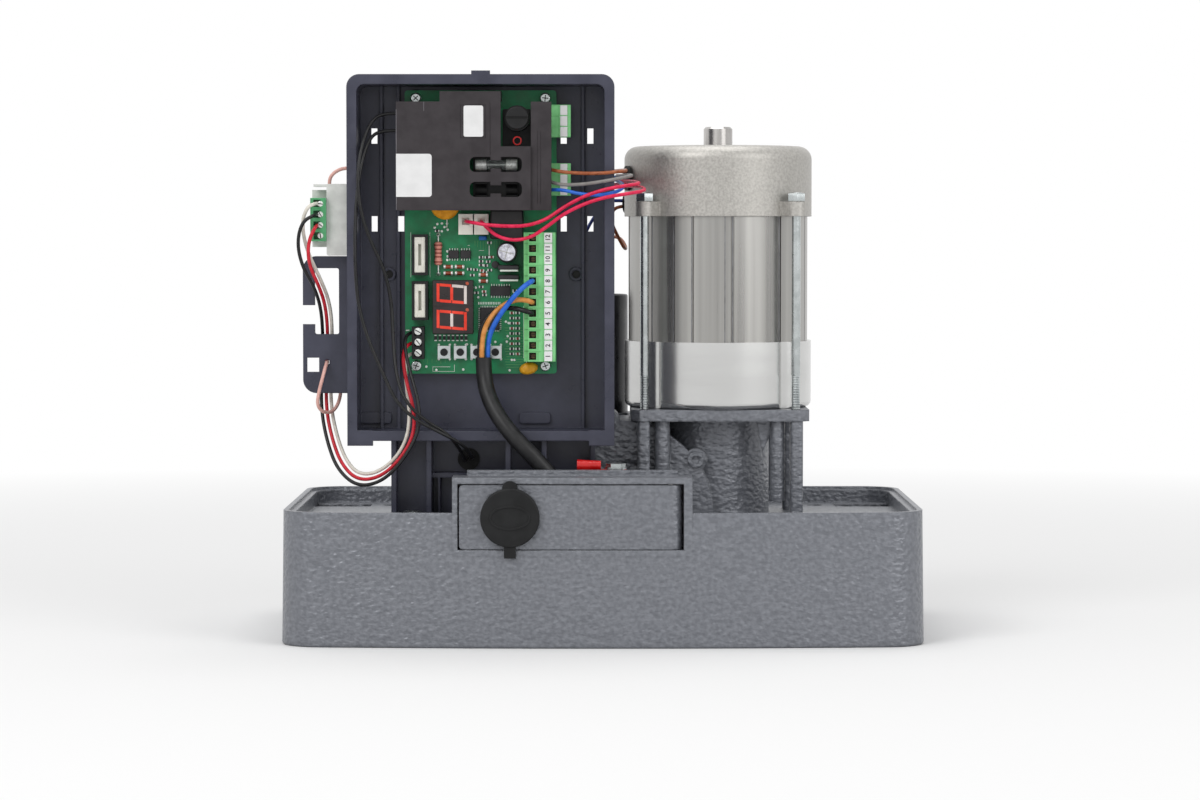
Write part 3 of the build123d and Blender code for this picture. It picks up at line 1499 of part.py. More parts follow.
# Four button housings and their plungers
plunger_front = board_front - button_height - button_proud
button_roof = board_front - button_height + button_lid
with BuildPart() as button_housings:
    for x in button_columns:
        half = button_side / 2
        extrude(edge_box(x - half, x + half, button_z - half, button_z + half, board_front), amount=button_height)
        chamber = upright_disc(x, button_z, board_front - 2 * button_lid, button_flange + face_gap)
        extrude(chamber, amount=board_front - 2 * button_lid - button_roof, mode=Mode.SUBTRACT)
        way = upright_disc(x, button_z, button_roof, button_radius + running_gap)
        extrude(way, amount=button_lid, mode=Mode.SUBTRACT)


def plunger(x):
    """Push button at x: a round stem above a flange that the housing keeps in."""
    with BuildPart() as piece:
        flange_rear = button_roof + thread_gap + button_lid
        extrude(upright_disc(x, button_z, flange_rear, button_radius), amount=flange_rear - plunger_front)
        extrude(upright_disc(x, button_z, flange_rear, button_flange), amount=button_lid)
    return piece


plungers = {f"button_{n + 1}": plunger(x) for n, x in enumerate(button_columns)}

# Earth lug: a ring under the screw and an insulated barrel, and the screw with its washer
with BuildPart() as earth_lug:
    extrude(level_disc(earth_x, earth_y, earth_top, washer_radius, earth_screw_radius + thread_gap), amount=lug_thickness)
    neck = floor_box(
        lug_barrel_start,
        earth_x - washer_radius + 1,
        earth_y - lug_barrel_radius / 2,
        earth_y + lug_barrel_radius / 2,
        earth_top,
    )
    extrude(neck, amount=lug_thickness)
    barrel_z = earth_top + lug_barrel_radius + thread_gap
    with BuildSketch(Plane(origin=(lug_barrel_end, earth_y, barrel_z), z_dir=(1, 0, 0))):
        Circle(lug_barrel_radius + lug_flare)
        Circle(lug_barrel_radius - lug_flare, mode=Mode.SUBTRACT)
    with BuildSketch(Plane(origin=(lug_barrel_start, earth_y, barrel_z), z_dir=(1, 0, 0))):
        Circle(lug_barrel_radius)
        Circle(lug_barrel_radius - 2 * lug_flare, mode=Mode.SUBTRACT)
    loft()

with BuildPart() as earth_screw:
    extrude(level_disc(earth_x, earth_y, earth_top + lug_thickness, washer_radius), amount=washer_thickness)
    with BuildSketch(Plane.XY.offset(earth_top + lug_thickness + washer_thickness)):
        with Locations((earth_x, earth_y)):
            RegularPolygon(earth_head_radius, 6, major_radius=False)
    extrude(amount=earth_head_height)
    extrude(level_disc(earth_x, earth_y, earth_top + lug_thickness, earth_screw_radius), amount=-earth_thickness)

# Levelling screws: headless, with a hexagon socket
with BuildPart() as levelling_screws:
    with BuildSketch(Plane.XY.offset(foot_rounding / 3)):
        with Locations(leveller_points):
            Circle(leveller_radius)
    extrude(amount=leveller_length)
    chamfer(levelling_screws.edges().filter_by(GeomType.CIRCLE), shaft_chamfer)
    with BuildSketch(Plane.XY.offset(foot_rounding / 3 + leveller_length)):
        with Locations(leveller_points):
            RegularPolygon(leveller_key / 2, 6, major_radius=False)
    extrude(amount=-leveller_key, mode=Mode.SUBTRACT)

# Bracket of the limit sensor: a plate with an arm, a hook, a window and a flange to the tray
with BuildPart() as sensor_bracket:
    rear = bracket_front + bracket_thickness
    outer = edge_box(bracket_left, bracket_bar[1], bracket_bottom, bracket_top, rear)
    extrude(outer, amount=bracket_thickness)
    fillet(sensor_bracket.edges().filter_by(Axis.Y).group_by(Axis.X)[0], bracket_corner)
    window = edge_box(bracket_hook_x, bracket_bar[0], bracket_window_z, bracket_arm_z, rear, shaft_chamfer)
    extrude(window, amount=bracket_thickness, mode=Mode.SUBTRACT)
    mouth = edge_box(bracket_left - 1, bracket_bar[0] - 2, bracket_plate_z, bracket_hook_z, rear)
    extrude(mouth, amount=bracket_thickness, mode=Mode.SUBTRACT)
    left, right, bottom, top = square_hole
    extrude(edge_box(left, right, bottom, top, rear), amount=bracket_thickness, mode=Mode.SUBTRACT)
    x, z, radius = wire_hole
    extrude(upright_disc(x, z, rear, radius), amount=bracket_thickness, mode=Mode.SUBTRACT)
    flange = edge_box(
        bracket_bar[1],
        bracket_bar[1] + tray_flange,
        bracket_bottom + bracket_corner,
        bracket_top - bracket_corner,
        rear + bracket_flange,
    )
    extrude(flange, amount=bracket_flange + bracket_thickness)

with BuildPart() as limit_sensor:
    left, right, bottom, top = sensor_box
    extrude(edge_box(left, right, bottom, top, sensor_rear), amount=sensor_rear - sensor_front)
    fillet(limit_sensor.edges().filter_by(Axis.Y), shaft_chamfer)
    wing_left, wing_z, wing = sensor_wing
    extrude(edge_box(wing_left, left + wing, wing_z, wing_z + wing, sensor_rear), amount=sensor_rear - sensor_front)
    plate_left, plate_bottom, plate_top = sensor_plate
    carrier = edge_box(plate_left, left + wing, plate_bottom, plate_top, sensor_plate_front + wing)
    extrude(carrier, amount=wing)

four_way_front = sensor_plate_front - four_way_height
with BuildPart() as sensor_terminal:
    add(
        screw_terminal(
            four_way_left,
            four_way_right,
            four_way_bottom,
            4,
            four_way_height,
            (four_way_left + four_way_right) / 2 - shaft_chamfer / 2,
            four_way_front,
            terminal_step / 4,
        )
    )


def cord_tube(label, radius, points):
    """Round lead along straight runs joined by arcs as large as the runs allow."""
    corners = [Vector(*point) for point in points]
    radii = []
    for before, corner, after in zip(corners, corners[1:], corners[2:]):
        half_turn = radians((corner - before).get_angle(after - corner)) / 2
        shorter = min((corner - before).length, (after - corner).length)
        radii.append(arc_share * shorter / tan(half_turn))
    with BuildPart() as tube:
        with BuildLine() as route:
            FilletPolyline(*points, radius=radii)
        with BuildSketch(Plane(origin=route.line @ 0, z_dir=route.line % 0)):
            Circle(radius)
        sweep(path=route.line)
    length = sum(edge.length for edge in route.edges())
    shown = " ".join(f"{value:.0f}" for value in radii)
    print(f"{label}: length {length:.0f}, volume share {tube.part.volume / (pi * radius**2 * length):.3f}, radii {shown}")
    return tube.part


# Supply cable, from the gland in the deck up to the board, and its three cores
jacket_end = 134.0
mains_route = [
    (-56.4, -55.0, jacket_end),
    (-56.4, -55.0, 127.0),
    (-54.6, -58.6, 116.5),
    (-48.8, -65.0, 105.5),
    (-40.0, -68.6, 95.0),
    (-31.2, -69.0, 86.4),
    (-22.6, -67.6, 76.4),
    (-17.0, -64.8, 65.6),
    (gland_x, gland_y, deck_height + gland_flange_height / 2),
]
with BuildPart() as mains_cable:
    add(cord_tube("mains cable", mains_radius, mains_route))

opening_floor = terminal_front + opening_depth
way_z = [terminal_bottom + pitch * (n + 0.5) for n in range(terminal_ways)]
core_routes = {
    "blue core": [
        (-54.5, -54.6, jacket_end),
        (-54.5, -54.6, 140.5),
        (-52.6, -57.5, 147.0),
        (-49.0, -60.5, 153.5),
        (-43.8, -62.5, 160.5),
        (-38.6, -63.6, 166.4),
        (-34.4, -62.8, 169.6),
        (opening_x, -59.8, way_z[7]),
        (opening_x, opening_floor, way_z[7]),
    ],
    "brown core": [
        (-57.2, -56.6, jacket_end),
        (-57.2, -56.6, 141.0),
        (-55.6, -57.4, 148.5),
        (-51.4, -58.2, 155.2),
        (-45.4, -58.9, 159.8),
        (-39.6, -60.4, 161.6),
        (-35.0, -60.8, 160.8),
        (opening_x, -58.6, way_z[5]),
        (opening_x, opening_floor, way_z[5]),
    ],
    "black core": [
        (-58.3, -53.8, jacket_end),
        (-58.3, -53.8, 141.5),
        (-57.4, -53.6, 148.5),
        (-53.2, -53.8, 154.6),
        (-47.0, -55.4, 157.4),
        (-40.8, -58.6, 157.2),
        (-35.8, -60.2, 155.8),
        (opening_x, -58.4, way_z[4]),
        (opening_x, opening_floor, way_z[4]),
    ],
}
with BuildPart() as mains_cores:
    for label, route in core_routes.items():
        add(cord_tube(label, core_radius, route))

# Two black leads, from under the board cover to the grommet in the leg
lead_face = leg_panel_y - leg_wall / 2
lead_routes = {
    "outer lead": [
        (cover_left, -52.0, 241.0),
        (-103.6, -52.0, 241.0),
        (-109.4, -55.4, 238.4),
        (-113.0, -60.4, 228.0),
        (-115.3, -65.4, 212.0),
        (-116.1, -68.4, 194.0),
        (-116.0, -70.0, 176.0),
        (-114.6, -69.0, 158.0),
        (-109.6, -69.0, 141.5),
        (-102.6, -71.0, 126.0),
        (-96.6, -74.2, 113.5),
        (-87.4, -76.2, 105.4),
        (-76.6, -75.0, 99.8),
        (-66.4, -70.2, 94.2),
        (-62.2, -61.2, 88.6),
        (-62.2, -51.4, 86.0),
        (-62.2, lead_face, 86.0),
    ],
    "inner lead": [
        (cover_left, -54.0, 249.0),
        (-103.2, -54.0, 249.0),
        (-108.6, -57.8, 246.0),
        (-112.8, -64.6, 235.0),
        (-115.0, -68.6, 220.0),
        (-113.6, -69.0, 203.0),
        (-109.0, -66.4, 188.8),
        (-102.8, -62.6, 176.0),
        (-99.6, -59.6, 161.0),
        (-98.8, -61.4, 143.0),
        (-97.2, -66.4, 126.0),
        (-92.6, -71.0, 113.6),
        (-83.4, -72.8, 105.0),
        (-72.4, -71.0, 98.6),
        (-67.4, -64.4, 91.0),
        (-65.6, -56.8, 86.4),
        (-65.6, -49.4, 84.6),
        (-65.6, lead_face, 84.6),
    ],
}
with BuildPart() as accessory_leads:
    for label, route in lead_routes.items():
        add(cord_tube(label, lead_radius, route))

# Leads of the limit sensor, from the three way input to its four way terminal
input_x = (input_left + input_right) / 2
input_floor = input_front + opening_depth
input_z = [input_bottom + pitch * (n + 0.5) for n in range(3)]
four_way_x = (four_way_left + four_way_right) / 2 - shaft_chamfer / 2
four_way_floor = four_way_front + opening_depth
four_way_z = [four_way_bottom + pitch * (n + 0.5) for n in range(4)]
sensor_routes = {
    "white lead": [
        (input_x, input_floor, input_z[0]),
        (input_x, -53.6, input_z[0]),
        (-89.8, -58.0, 130.0),
        (-90.6, -62.0, 120.0),
        (-90.2, -65.0, 108.0),
        (-92.0, -66.2, 96.0),
        (-98.0, -66.0, 86.0),
        (-107.0, -64.6, 79.6),
        (-115.6, -61.6, 79.2),
        (-121.6, -55.6, 85.4),
        (-126.0, -49.0, 95.4),
        (-129.4, -43.6, 109.0),
        (-129.6, -42.2, 127.0),
        (-128.6, -42.8, 145.0),
        (-129.4, -49.0, 160.0),
        (-133.6, -57.4, 172.0),
        (-139.4, -62.4, 185.0),
        (-141.4, -64.6, 197.4),
        (-138.6, -66.0, 205.0),
        (four_way_x, -64.6, four_way_z[3]),
        (four_way_x, four_way_floor, four_way_z[3]),
    ],
    "red lead": [
        (input_x, input_floor, input_z[1]),
        (input_x, -54.4, input_z[1]),
        (-88.6, -59.0, 134.6),
        (-88.8, -62.6, 124.0),
        (-87.8, -65.6, 111.0),
        (-88.6, -68.0, 98.0),
        (-95.0, -69.0, 86.6),
        (-104.6, -67.4, 78.0),
        (-115.4, -63.6, 76.2),
        (-123.4, -56.6, 83.0),
        (-128.4, -49.6, 94.4),
        (-131.8, -43.6, 109.0),
        (-131.6, -41.8, 127.0),
        (-130.8, -42.2, 144.0),
        (-131.4, -49.4, 158.4),
        (-134.0, -57.8, 168.0),
        (-138.0, -63.6, 177.4),
        (-138.4, -66.4, 188.0),
        (four_way_x, -65.4, four_way_z[1]),
        (four_way_x, four_way_floor, four_way_z[1]),
    ],
    "black lead": [
        (input_x, input_floor, input_z[2]),
        (input_x, -55.4, input_z[2]),
        (-87.0, -60.4, 139.0),
        (-86.4, -63.8, 128.0),
        (-85.2, -67.2, 115.0),
        (-85.8, -70.2, 101.0),
        (-92.4, -71.8, 88.0),
        (-102.6, -70.4, 76.6),
        (-115.0, -66.2, 73.2),
        (-125.2, -58.4, 80.6),
        (-130.8, -50.4, 93.4),
        (-134.2, -43.8, 109.0),
        (-133.8, -41.6, 127.0),
        (-133.2, -42.4, 144.6),
        (-133.6, -50.6, 158.0),
        (-136.2, -59.4, 167.8),
        (-141.2, -64.4, 177.0),
        (-143.4, -66.4, 188.0),
        (-141.0, -67.4, 198.0),
        (four_way_x, -66.6, four_way_z[2]),
        (four_way_x, four_way_floor, four_way_z[2]),
    ],
    "upper pink lead": [
        (tray_left + tray_flange, -49.0, 223.4),
        (-122.6, -49.0, 223.4),
        (-126.8, -49.0, 221.6),
        (-129.4, -49.0, 218.6),
        (-129.4, -49.0, sensor_top),
    ],
    "lower pink lead": [
        (wire_hole[0], bracket_front + bracket_thickness, wire_hole[1]),
        (wire_hole[0], -53.0, wire_hole[1]),
        (-132.0, -55.6, 126.0),
        (-134.4, -55.8, 117.0),
        (-135.2, -54.4, 111.2),
        (-132.6, -50.6, 107.6),
        (-128.2, -46.6, 107.6),
        (-125.2, -43.2, 113.0),
        (-124.6, -42.6, 121.0),
        (-124.6, bracket_front + bracket_thickness, 121.0),
    ],
}
with BuildPart() as sensor_wires:
    for label, route in sensor_routes.items():
        add(cord_tube(label, signal_radius, route))

# Leads to the motor, from the lower plug terminal and from the white connectors
exit_run = 5.5
hole_bundle = [(0.0, 3.2), (1.9, 1.0), (-1.9, 0.4), (1.2, -1.7), (-1.2, -3.0)]


def hole_ends(turn, height, across, up):
    """Last two points of a lead that goes straight into a grommet of the motor."""
    reach = upper_shield_radius + grommet_lip
    return [
        (
            motor_x + (reach + out) * cos(turn) - across * sin(turn),
            (reach + out) * sin(turn) + across * cos(turn),
            height + up,
        )
        for out in (exit_run, 0.0)
    ]


plug_floor = plug_front + opening_depth
plug_z = [plug_rows[1] + pitch * (n + 0.5) for n in range(3)]
white_floor = white_front + opening_depth / 2
white_z = white_top - opening_side
motor_routes = {
    "brown lead": [
        (plug_opening_x, plug_floor, plug_z[2]),
        (plug_opening_x, -51.6, plug_z[2]),
        (-25.2, -54.8, 222.6),
        (-19.6, -57.0, 221.4),
        (-10.0, -61.6, 220.6),
        (-0.6, -66.0, 220.6),
        (7.4, -64.4, 221.4),
        (11.0, -56.0, 222.0),
        (10.6, -44.0, 222.4),
        (7.4, -32.0, 222.4),
        (4.4, -22.0, 222.2),
        *hole_ends(hole_turns[0], wire_hole_z, *hole_bundle[0]),
    ],
    "grey lead": [
        (plug_opening_x, plug_floor, plug_z[1]),
        (plug_opening_x, -51.8, plug_z[1]),
        (-25.0, -54.8, 216.8),
        (-19.4, -58.0, 215.2),
        (-10.0, -63.6, 215.4),
        (-0.8, -68.2, 216.6),
        (8.6, -66.8, 218.4),
        (13.6, -58.0, 219.6),
        (13.4, -45.6, 220.0),
        (10.0, -34.0, 220.0),
        (6.8, -24.0, 220.0),
        *hole_ends(hole_turns[0], wire_hole_z, *hole_bundle[1]),
    ],
    "blue lead": [
        (plug_opening_x, plug_floor, plug_z[0]),
        (plug_opening_x, -51.8, plug_z[0]),
        (-25.0, -54.6, 213.0),
        (-19.2, -58.4, 213.0),
        (-11.0, -62.8, 211.0),
        (-1.8, -65.8, 210.2),
        (6.2, -63.6, 211.8),
        (9.8, -55.0, 214.0),
        (9.2, -43.0, 216.2),
        (5.8, -31.0, 218.0),
        (3.0, -20.6, 219.3),
        *hole_ends(hole_turns[0], wire_hole_z, *hole_bundle[2]),
    ],
}
thermal_routes = {
    "upper crimson lead": [
        (white_left + 3.4, white_floor, white_z),
        (white_left + 3.4, -55.4, white_z),
        (-61.6, -60.4, 197.6),
        (-54.4, -63.4, 196.4),
        (-45.0, -64.0, 195.8),
        (-35.4, -64.0, 196.0),
        (-26.4, -64.4, 199.0),
        (-17.8, -66.0, 205.2),
        (-8.2, -68.4, 210.2),
        (1.4, -71.2, 213.2),
        (10.8, -71.0, 214.8),
        (17.0, -62.6, 215.8),
        (16.6, -49.0, 216.6),
        (13.4, -36.6, 217.2),
        (8.8, -26.0, 217.3),
        *hole_ends(hole_turns[0], wire_hole_z, *hole_bundle[3]),
    ],
    "lower crimson lead": [
        (white_right - 3.4, white_floor, white_z),
        (white_right - 3.4, -55.6, white_z),
        (-55.2, -59.0, 195.6),
        (-49.8, -60.0, 191.0),
        (-42.0, -61.2, 189.0),
        (-33.6, -63.0, 190.6),
        (-26.0, -66.0, 195.8),
        (-18.4, -69.4, 201.6),
        (-8.6, -72.4, 206.4),
        (1.2, -74.8, 209.4),
        (11.6, -74.0, 211.0),
        (19.4, -65.4, 212.4),
        (19.6, -52.0, 213.8),
        (14.8, -40.0, 215.0),
        (8.2, -29.0, 215.2),
        (3.6, -20.6, 215.8),
        *hole_ends(hole_turns[0], wire_hole_z, *hole_bundle[4]),
    ],
}
with BuildPart() as motor_leads:
    for label, route in motor_routes.items():
        add(cord_tube(label, signal_radius, route))
with BuildPart() as thermal_leads:
    for label, route in thermal_routes.items():
        add(cord_tube(label, signal_radius, route))

# Leads of the run capacitor, to the second hole in the motor
blade_top = run_foot + run_height + blade_height
capacitor_routes = {
    "navy lead": [
        (run_x - blade_offset, run_y, blade_top),
        (run_x - blade_offset, run_y, 178.0),
        (-10.6, 45.6, 188.0),
        (-6.6, 40.4, 197.0),
        (-2.0, 33.0, 203.6),
        (1.4, 24.4, 207.4),
        (3.6, 17.6, 208.5),
        *hole_ends(hole_turns[1], capacitor_hole_z, 0.3, 1.4),
    ],
    "tan lead": [
        (run_x + blade_offset, run_y, blade_top),
        (run_x + blade_offset, run_y, 178.0),
        (1.0, 46.6, 186.0),
        (4.6, 43.4, 191.0),
        (9.0, 39.0, 190.0),
        (11.6, 33.0, 185.4),
        (11.0, 25.6, 184.4),
        (8.0, 18.6, 189.6),
        (3.6, 15.2, 198.6),
        *hole_ends(hole_turns[1], capacitor_hole_z, -0.3, -1.4),
    ],
}
with BuildPart() as capacitor_leads:
    for label, route in capacitor_routes.items():
        add(cord_tube(label, signal_radius, route))


# Every piece, in the order of assembly
pieces = {
    "base_casting": base_casting,
    "levelling_screws": levelling_screws,
    "output_bearings": output_bearings,
    "output_shaft": output_shaft,
    "worm_wheel": worm_wheel,
    "clutch_ring": clutch_ring,
    "release_rod": release_rod,
    "gear_cover": gear_cover,
    "cover_screws": cover_screws,
    "shaft_seal": shaft_seal,
    "pinion": pinion,
    "pinion_clip": pinion_clip,
    "motor_bearings": motor_bearings,
    "rotor_shaft": rotor_shaft,
    "rotor_core": rotor_core,
    "lower_shield": lower_shield,
    "stator_stack": stator_stack,
    "stator_winding": stator_winding,
    "upper_shield": upper_shield,
    "tie_bolts": tie_bolts,
    "run_capacitor": run_capacitor,
    "release_door": release_door,
    "hinge_pin": hinge_pin,
    "lock_barrel": lock_barrel,
    "lock_plug": lock_plug,
    "lock_cap": lock_cap,
    "control_tray": control_tray,
    "tray_screws": tray_screws,
    "cable_grommets": cable_grommets,
    "control_board": control_board,
    "board_screws": board_screws,
    "transformer": transformer,
    "board_cover": board_cover,
    "fuse_holder": fuse_holder,
    "glass_fuse": glass_fuse,
    "fuse_cap": fuse_cap,
    "board_terminals": board_terminals,
    "sensor_input_block": sensor_input_block,
    "card_sockets": card_sockets,
    "white_connectors": white_connectors,
    "digit_display": digit_display,
    "board_components": board_components,
    "button_housings": button_housings,
    **plungers,
    "earth_lug": earth_lug,
    "earth_screw": earth_screw,
    "sensor_bracket": sensor_bracket,
    "limit_sensor": limit_sensor,
    "sensor_terminal": sensor_terminal,
    "mains_cable": mains_cable,
    "mains_cores": mains_cores,
    "accessory_leads": accessory_leads,
    "sensor_wires": sensor_wires,
    "motor_leads": motor_leads,
    "thermal_leads": thermal_leads,
    "capacitor_leads": capacitor_leads,
}
for name, piece in pieces.items():
    piece.part.label = name
    export_step(piece.part, f"parts/{name}.step")
print(len(pieces), "pieces written")
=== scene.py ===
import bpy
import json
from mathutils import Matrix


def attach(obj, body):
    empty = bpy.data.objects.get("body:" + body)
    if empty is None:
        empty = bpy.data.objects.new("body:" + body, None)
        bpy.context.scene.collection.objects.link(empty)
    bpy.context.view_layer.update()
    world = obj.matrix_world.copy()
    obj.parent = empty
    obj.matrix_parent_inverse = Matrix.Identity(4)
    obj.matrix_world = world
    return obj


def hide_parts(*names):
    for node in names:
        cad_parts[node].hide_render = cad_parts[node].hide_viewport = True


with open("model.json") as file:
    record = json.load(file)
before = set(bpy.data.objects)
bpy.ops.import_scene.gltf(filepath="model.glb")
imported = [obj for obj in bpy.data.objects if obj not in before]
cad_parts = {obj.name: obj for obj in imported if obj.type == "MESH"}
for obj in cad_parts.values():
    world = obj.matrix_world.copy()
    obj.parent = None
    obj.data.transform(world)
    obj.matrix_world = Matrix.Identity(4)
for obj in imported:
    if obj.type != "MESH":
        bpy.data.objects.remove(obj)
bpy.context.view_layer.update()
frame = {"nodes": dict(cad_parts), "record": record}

import json
import math
import bmesh
import bpy
from mathutils import Matrix, Vector

# Sliding gate motor with its cover off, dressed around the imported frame.
# Cord points are in metres, as in the part; every other piece is drawn in millimetres.
mm = 0.001
nodes = frame["nodes"]
turnTo = {
    "X": Matrix.Rotation(math.pi / 2, 4, "Y"),
    "Y": Matrix.Rotation(math.pi / 2, 4, "X"),  # top faces the viewer
    "Z": Matrix.Identity(4),
}

cameraSetup = {"place": (-0.0014, -1.755, 0.195), "pitch": 2.735, "lens": 108.0, "sensor": 36.0}
cameraData = bpy.data.cameras.new("camera")
cameraData.lens = cameraSetup["lens"]
cameraData.sensor_width = cameraSetup["sensor"]
camera = bpy.data.objects.new("camera", cameraData)
camera.location = cameraSetup["place"]
camera.rotation_euler = (math.radians(90 - cameraSetup["pitch"]), 0, 0)
bpy.context.scene.collection.objects.link(camera)
bpy.context.scene.camera = camera
print("camera is set")


def tone(red, green, blue):
    # screen colour to the linear colour that a shader wants
    steps = [v / 12.92 if v <= 0.04045 else ((v + 0.055) / 1.055) ** 2.4 for v in (red, green, blue)]
    return (*steps, 1)


def shaderNode(tree, kind, values=None, **settings):
    # one node, with the values of its sockets by name
    made = tree.nodes.new("ShaderNode" + kind)
    for key, value in settings.items():
        setattr(made, key, value)
    for key, value in (values or {}).items():
        made.inputs[key].default_value = value
    return made


def joinNodes(tree, *links):
    for source, output, target, entry in links:
        tree.links.new(source.outputs[output], target.inputs[entry])


def noiseAt(tree, place, grain, stretch, detail=3.0):
    mapping = shaderNode(tree, "Mapping", {"Scale": stretch})
    noise = shaderNode(tree, "TexNoise", {"Scale": grain, "Detail": detail})
    joinNodes(tree, (place, "Object", mapping, "Vector"), (mapping, "Vector", noise, "Vector"))
    return noise


def surface(name, low, high, grain=300.0, stretch=(1, 1, 1), spread=(0.35, 0.65), rough=(0.45, 0.6), metal=0.0,
            relief=0.0, reliefGrain=400.0, reliefStretch=(1, 1, 1), height=0.0003, detail=3.0, coat=0.0,
            clear=0.0, glow=0.0, wornEdge=0.0, shine=0.5):
    material = bpy.data.materials.new(name)
    material.use_nodes = True
    tree = material.node_tree
    shader = tree.nodes["Principled BSDF"]
    shader.inputs["Metallic"].default_value = metal
    shader.inputs["Coat Weight"].default_value = coat
    shader.inputs["Transmission Weight"].default_value = clear
    shader.inputs["Specular IOR Level"].default_value = shine
    place = shaderNode(tree, "TexCoord")
    mottle = noiseAt(tree, place, grain, stretch, detail)
    ramp = shaderNode(tree, "ValToRGB")
    for element, position, colour in zip(ramp.color_ramp.elements, spread, (low, high)):
        element.position = position
        element.color = tone(*colour)
    gloss = shaderNode(tree, "MapRange", {"From Min": 0.3, "From Max": 0.7, "To Min": rough[0], "To Max": rough[1]})
    joinNodes(tree, (mottle, 0, ramp, "Fac"), (ramp, "Color", shader, "Base Color"),
              (mottle, 0, gloss, "Value"), (gloss, "Result", shader, "Roughness"))
    if glow:
        shader.inputs["Emission Color"].default_value = tone(*high)
        shader.inputs["Emission Strength"].default_value = glow
    worn = None
    if wornEdge:  # edges of cast and moulded parts catch the light
        worn = shaderNode(tree, "Bevel", {"Radius": wornEdge}, samples=4)
        joinNodes(tree, (worn, "Normal", shader, "Normal"))
    if relief:
        bump = shaderNode(tree, "Bump", {"Strength": relief, "Distance": height})
        if worn:
            joinNodes(tree, (worn, "Normal", bump, "Normal"))
        waves = noiseAt(tree, place, reliefGrain, reliefStretch, detail)
        joinNodes(tree, (waves, 0, bump, "Height"), (bump, "Normal", shader, "Normal"))
    return material


def plastic(name, colour, gap=0.035, **rest):
    # moulded plastic: a faint mottle round one colour, with a fine grain
    low = tuple(max(v - gap, 0.0) for v in colour)
    high = tuple(min(v + gap, 1.0) for v in colour)
    settings = {"grain": 160.0, "rough": (0.35, 0.5), "relief": 0.12, "reliefGrain": 1800.0,
                "height": 0.0001, "shine": 0.3}
    return surface(name, low, high, **{**settings, **rest})


surfaces = {
    "hammerPaint": dict(
        low=(0.425, 0.435, 0.46), high=(0.475, 0.485, 0.51), grain=500.0, rough=(0.3, 0.4), relief=1.0,
        reliefGrain=1.0, reliefStretch=(350, 350, 540), height=0.00075, detail=0.8, metal=0.25, wornEdge=0.0013,
        shine=0.55),
    "doorPaint": dict(
        low=(0.415, 0.425, 0.45), high=(0.465, 0.475, 0.50), grain=520.0, rough=(0.3, 0.4), relief=1.0,
        reliefGrain=1.0, reliefStretch=(380, 380, 580), height=0.0007, detail=0.8, metal=0.25, wornEdge=0.0008,
        shine=0.55),
    "roughCasting": dict(
        low=(0.63, 0.62, 0.60), high=(0.71, 0.70, 0.68), grain=900.0, rough=(0.38, 0.52), metal=0.6,
        relief=0.35, reliefGrain=850.0, height=0.00022, wornEdge=0.0006),
    "turnedAluminium": dict(
        low=(0.77, 0.77, 0.765), high=(0.80, 0.80, 0.795), grain=1.0, stretch=(9, 9, 60), rough=(0.22, 0.26),
        metal=0.92),
    "brushedStator": dict(
        low=(0.555, 0.55, 0.54), high=(0.70, 0.695, 0.68), grain=1.0, stretch=(150, 150, 3),
        spread=(0.25, 0.75), rough=(0.26, 0.38), metal=0.85, relief=0.2, reliefGrain=1.0,
        reliefStretch=(30, 30, 2000), height=0.00004),
    "shaftSteel": dict(
        low=(0.66, 0.65, 0.64), high=(0.76, 0.75, 0.74), grain=1.0, stretch=(240, 240, 40), rough=(0.2, 0.3),
        metal=1.0, relief=0.05, reliefGrain=900.0, height=0.00005),
    "gearSteel": dict(
        low=(0.44, 0.44, 0.45), high=(0.53, 0.53, 0.54), grain=260.0, rough=(0.28, 0.42), metal=1.0, relief=0.1,
        reliefGrain=900.0, height=0.0001, wornEdge=0.0003),
    "zincSteel": dict(
        low=(0.68, 0.70, 0.70), high=(0.76, 0.78, 0.78), grain=180.0, rough=(0.2, 0.32), metal=0.95,
        relief=0.04, reliefGrain=1200.0, height=0.00005),
    "bronze": dict(
        low=(0.62, 0.44, 0.22), high=(0.78, 0.58, 0.32), grain=320.0, rough=(0.28, 0.44), metal=1.0,
        relief=0.15, reliefGrain=900.0, height=0.0001),
    "copperEnamel": dict(
        low=(0.48, 0.20, 0.08), high=(0.72, 0.36, 0.16), grain=1.0, stretch=(1400, 1400, 90), rough=(0.22, 0.4),
        metal=0.6, relief=0.5, reliefGrain=1.0, reliefStretch=(1600, 1600, 90)),
    "boardGreen": dict(
        low=(0.0, 0.43, 0.25), high=(0.02, 0.52, 0.32), grain=200.0, rough=(0.4, 0.5), relief=0.1,
        reliefGrain=1500.0, height=0.0001),
    "solder": dict(
        low=(0.80, 0.81, 0.80), high=(0.93, 0.94, 0.92), grain=1200.0, rough=(0.25, 0.4), metal=0.3, relief=0.2,
        reliefGrain=1500.0, height=0.0001),
    "glass": dict(low=(0.93, 0.96, 0.95), high=(0.98, 0.99, 0.98), grain=60.0, rough=(0.02, 0.05), clear=0.9),
    "canSilver": dict(low=(0.66, 0.66, 0.70), high=(0.88, 0.88, 0.91), grain=700.0, rough=(0.2, 0.36), metal=0.9),
}
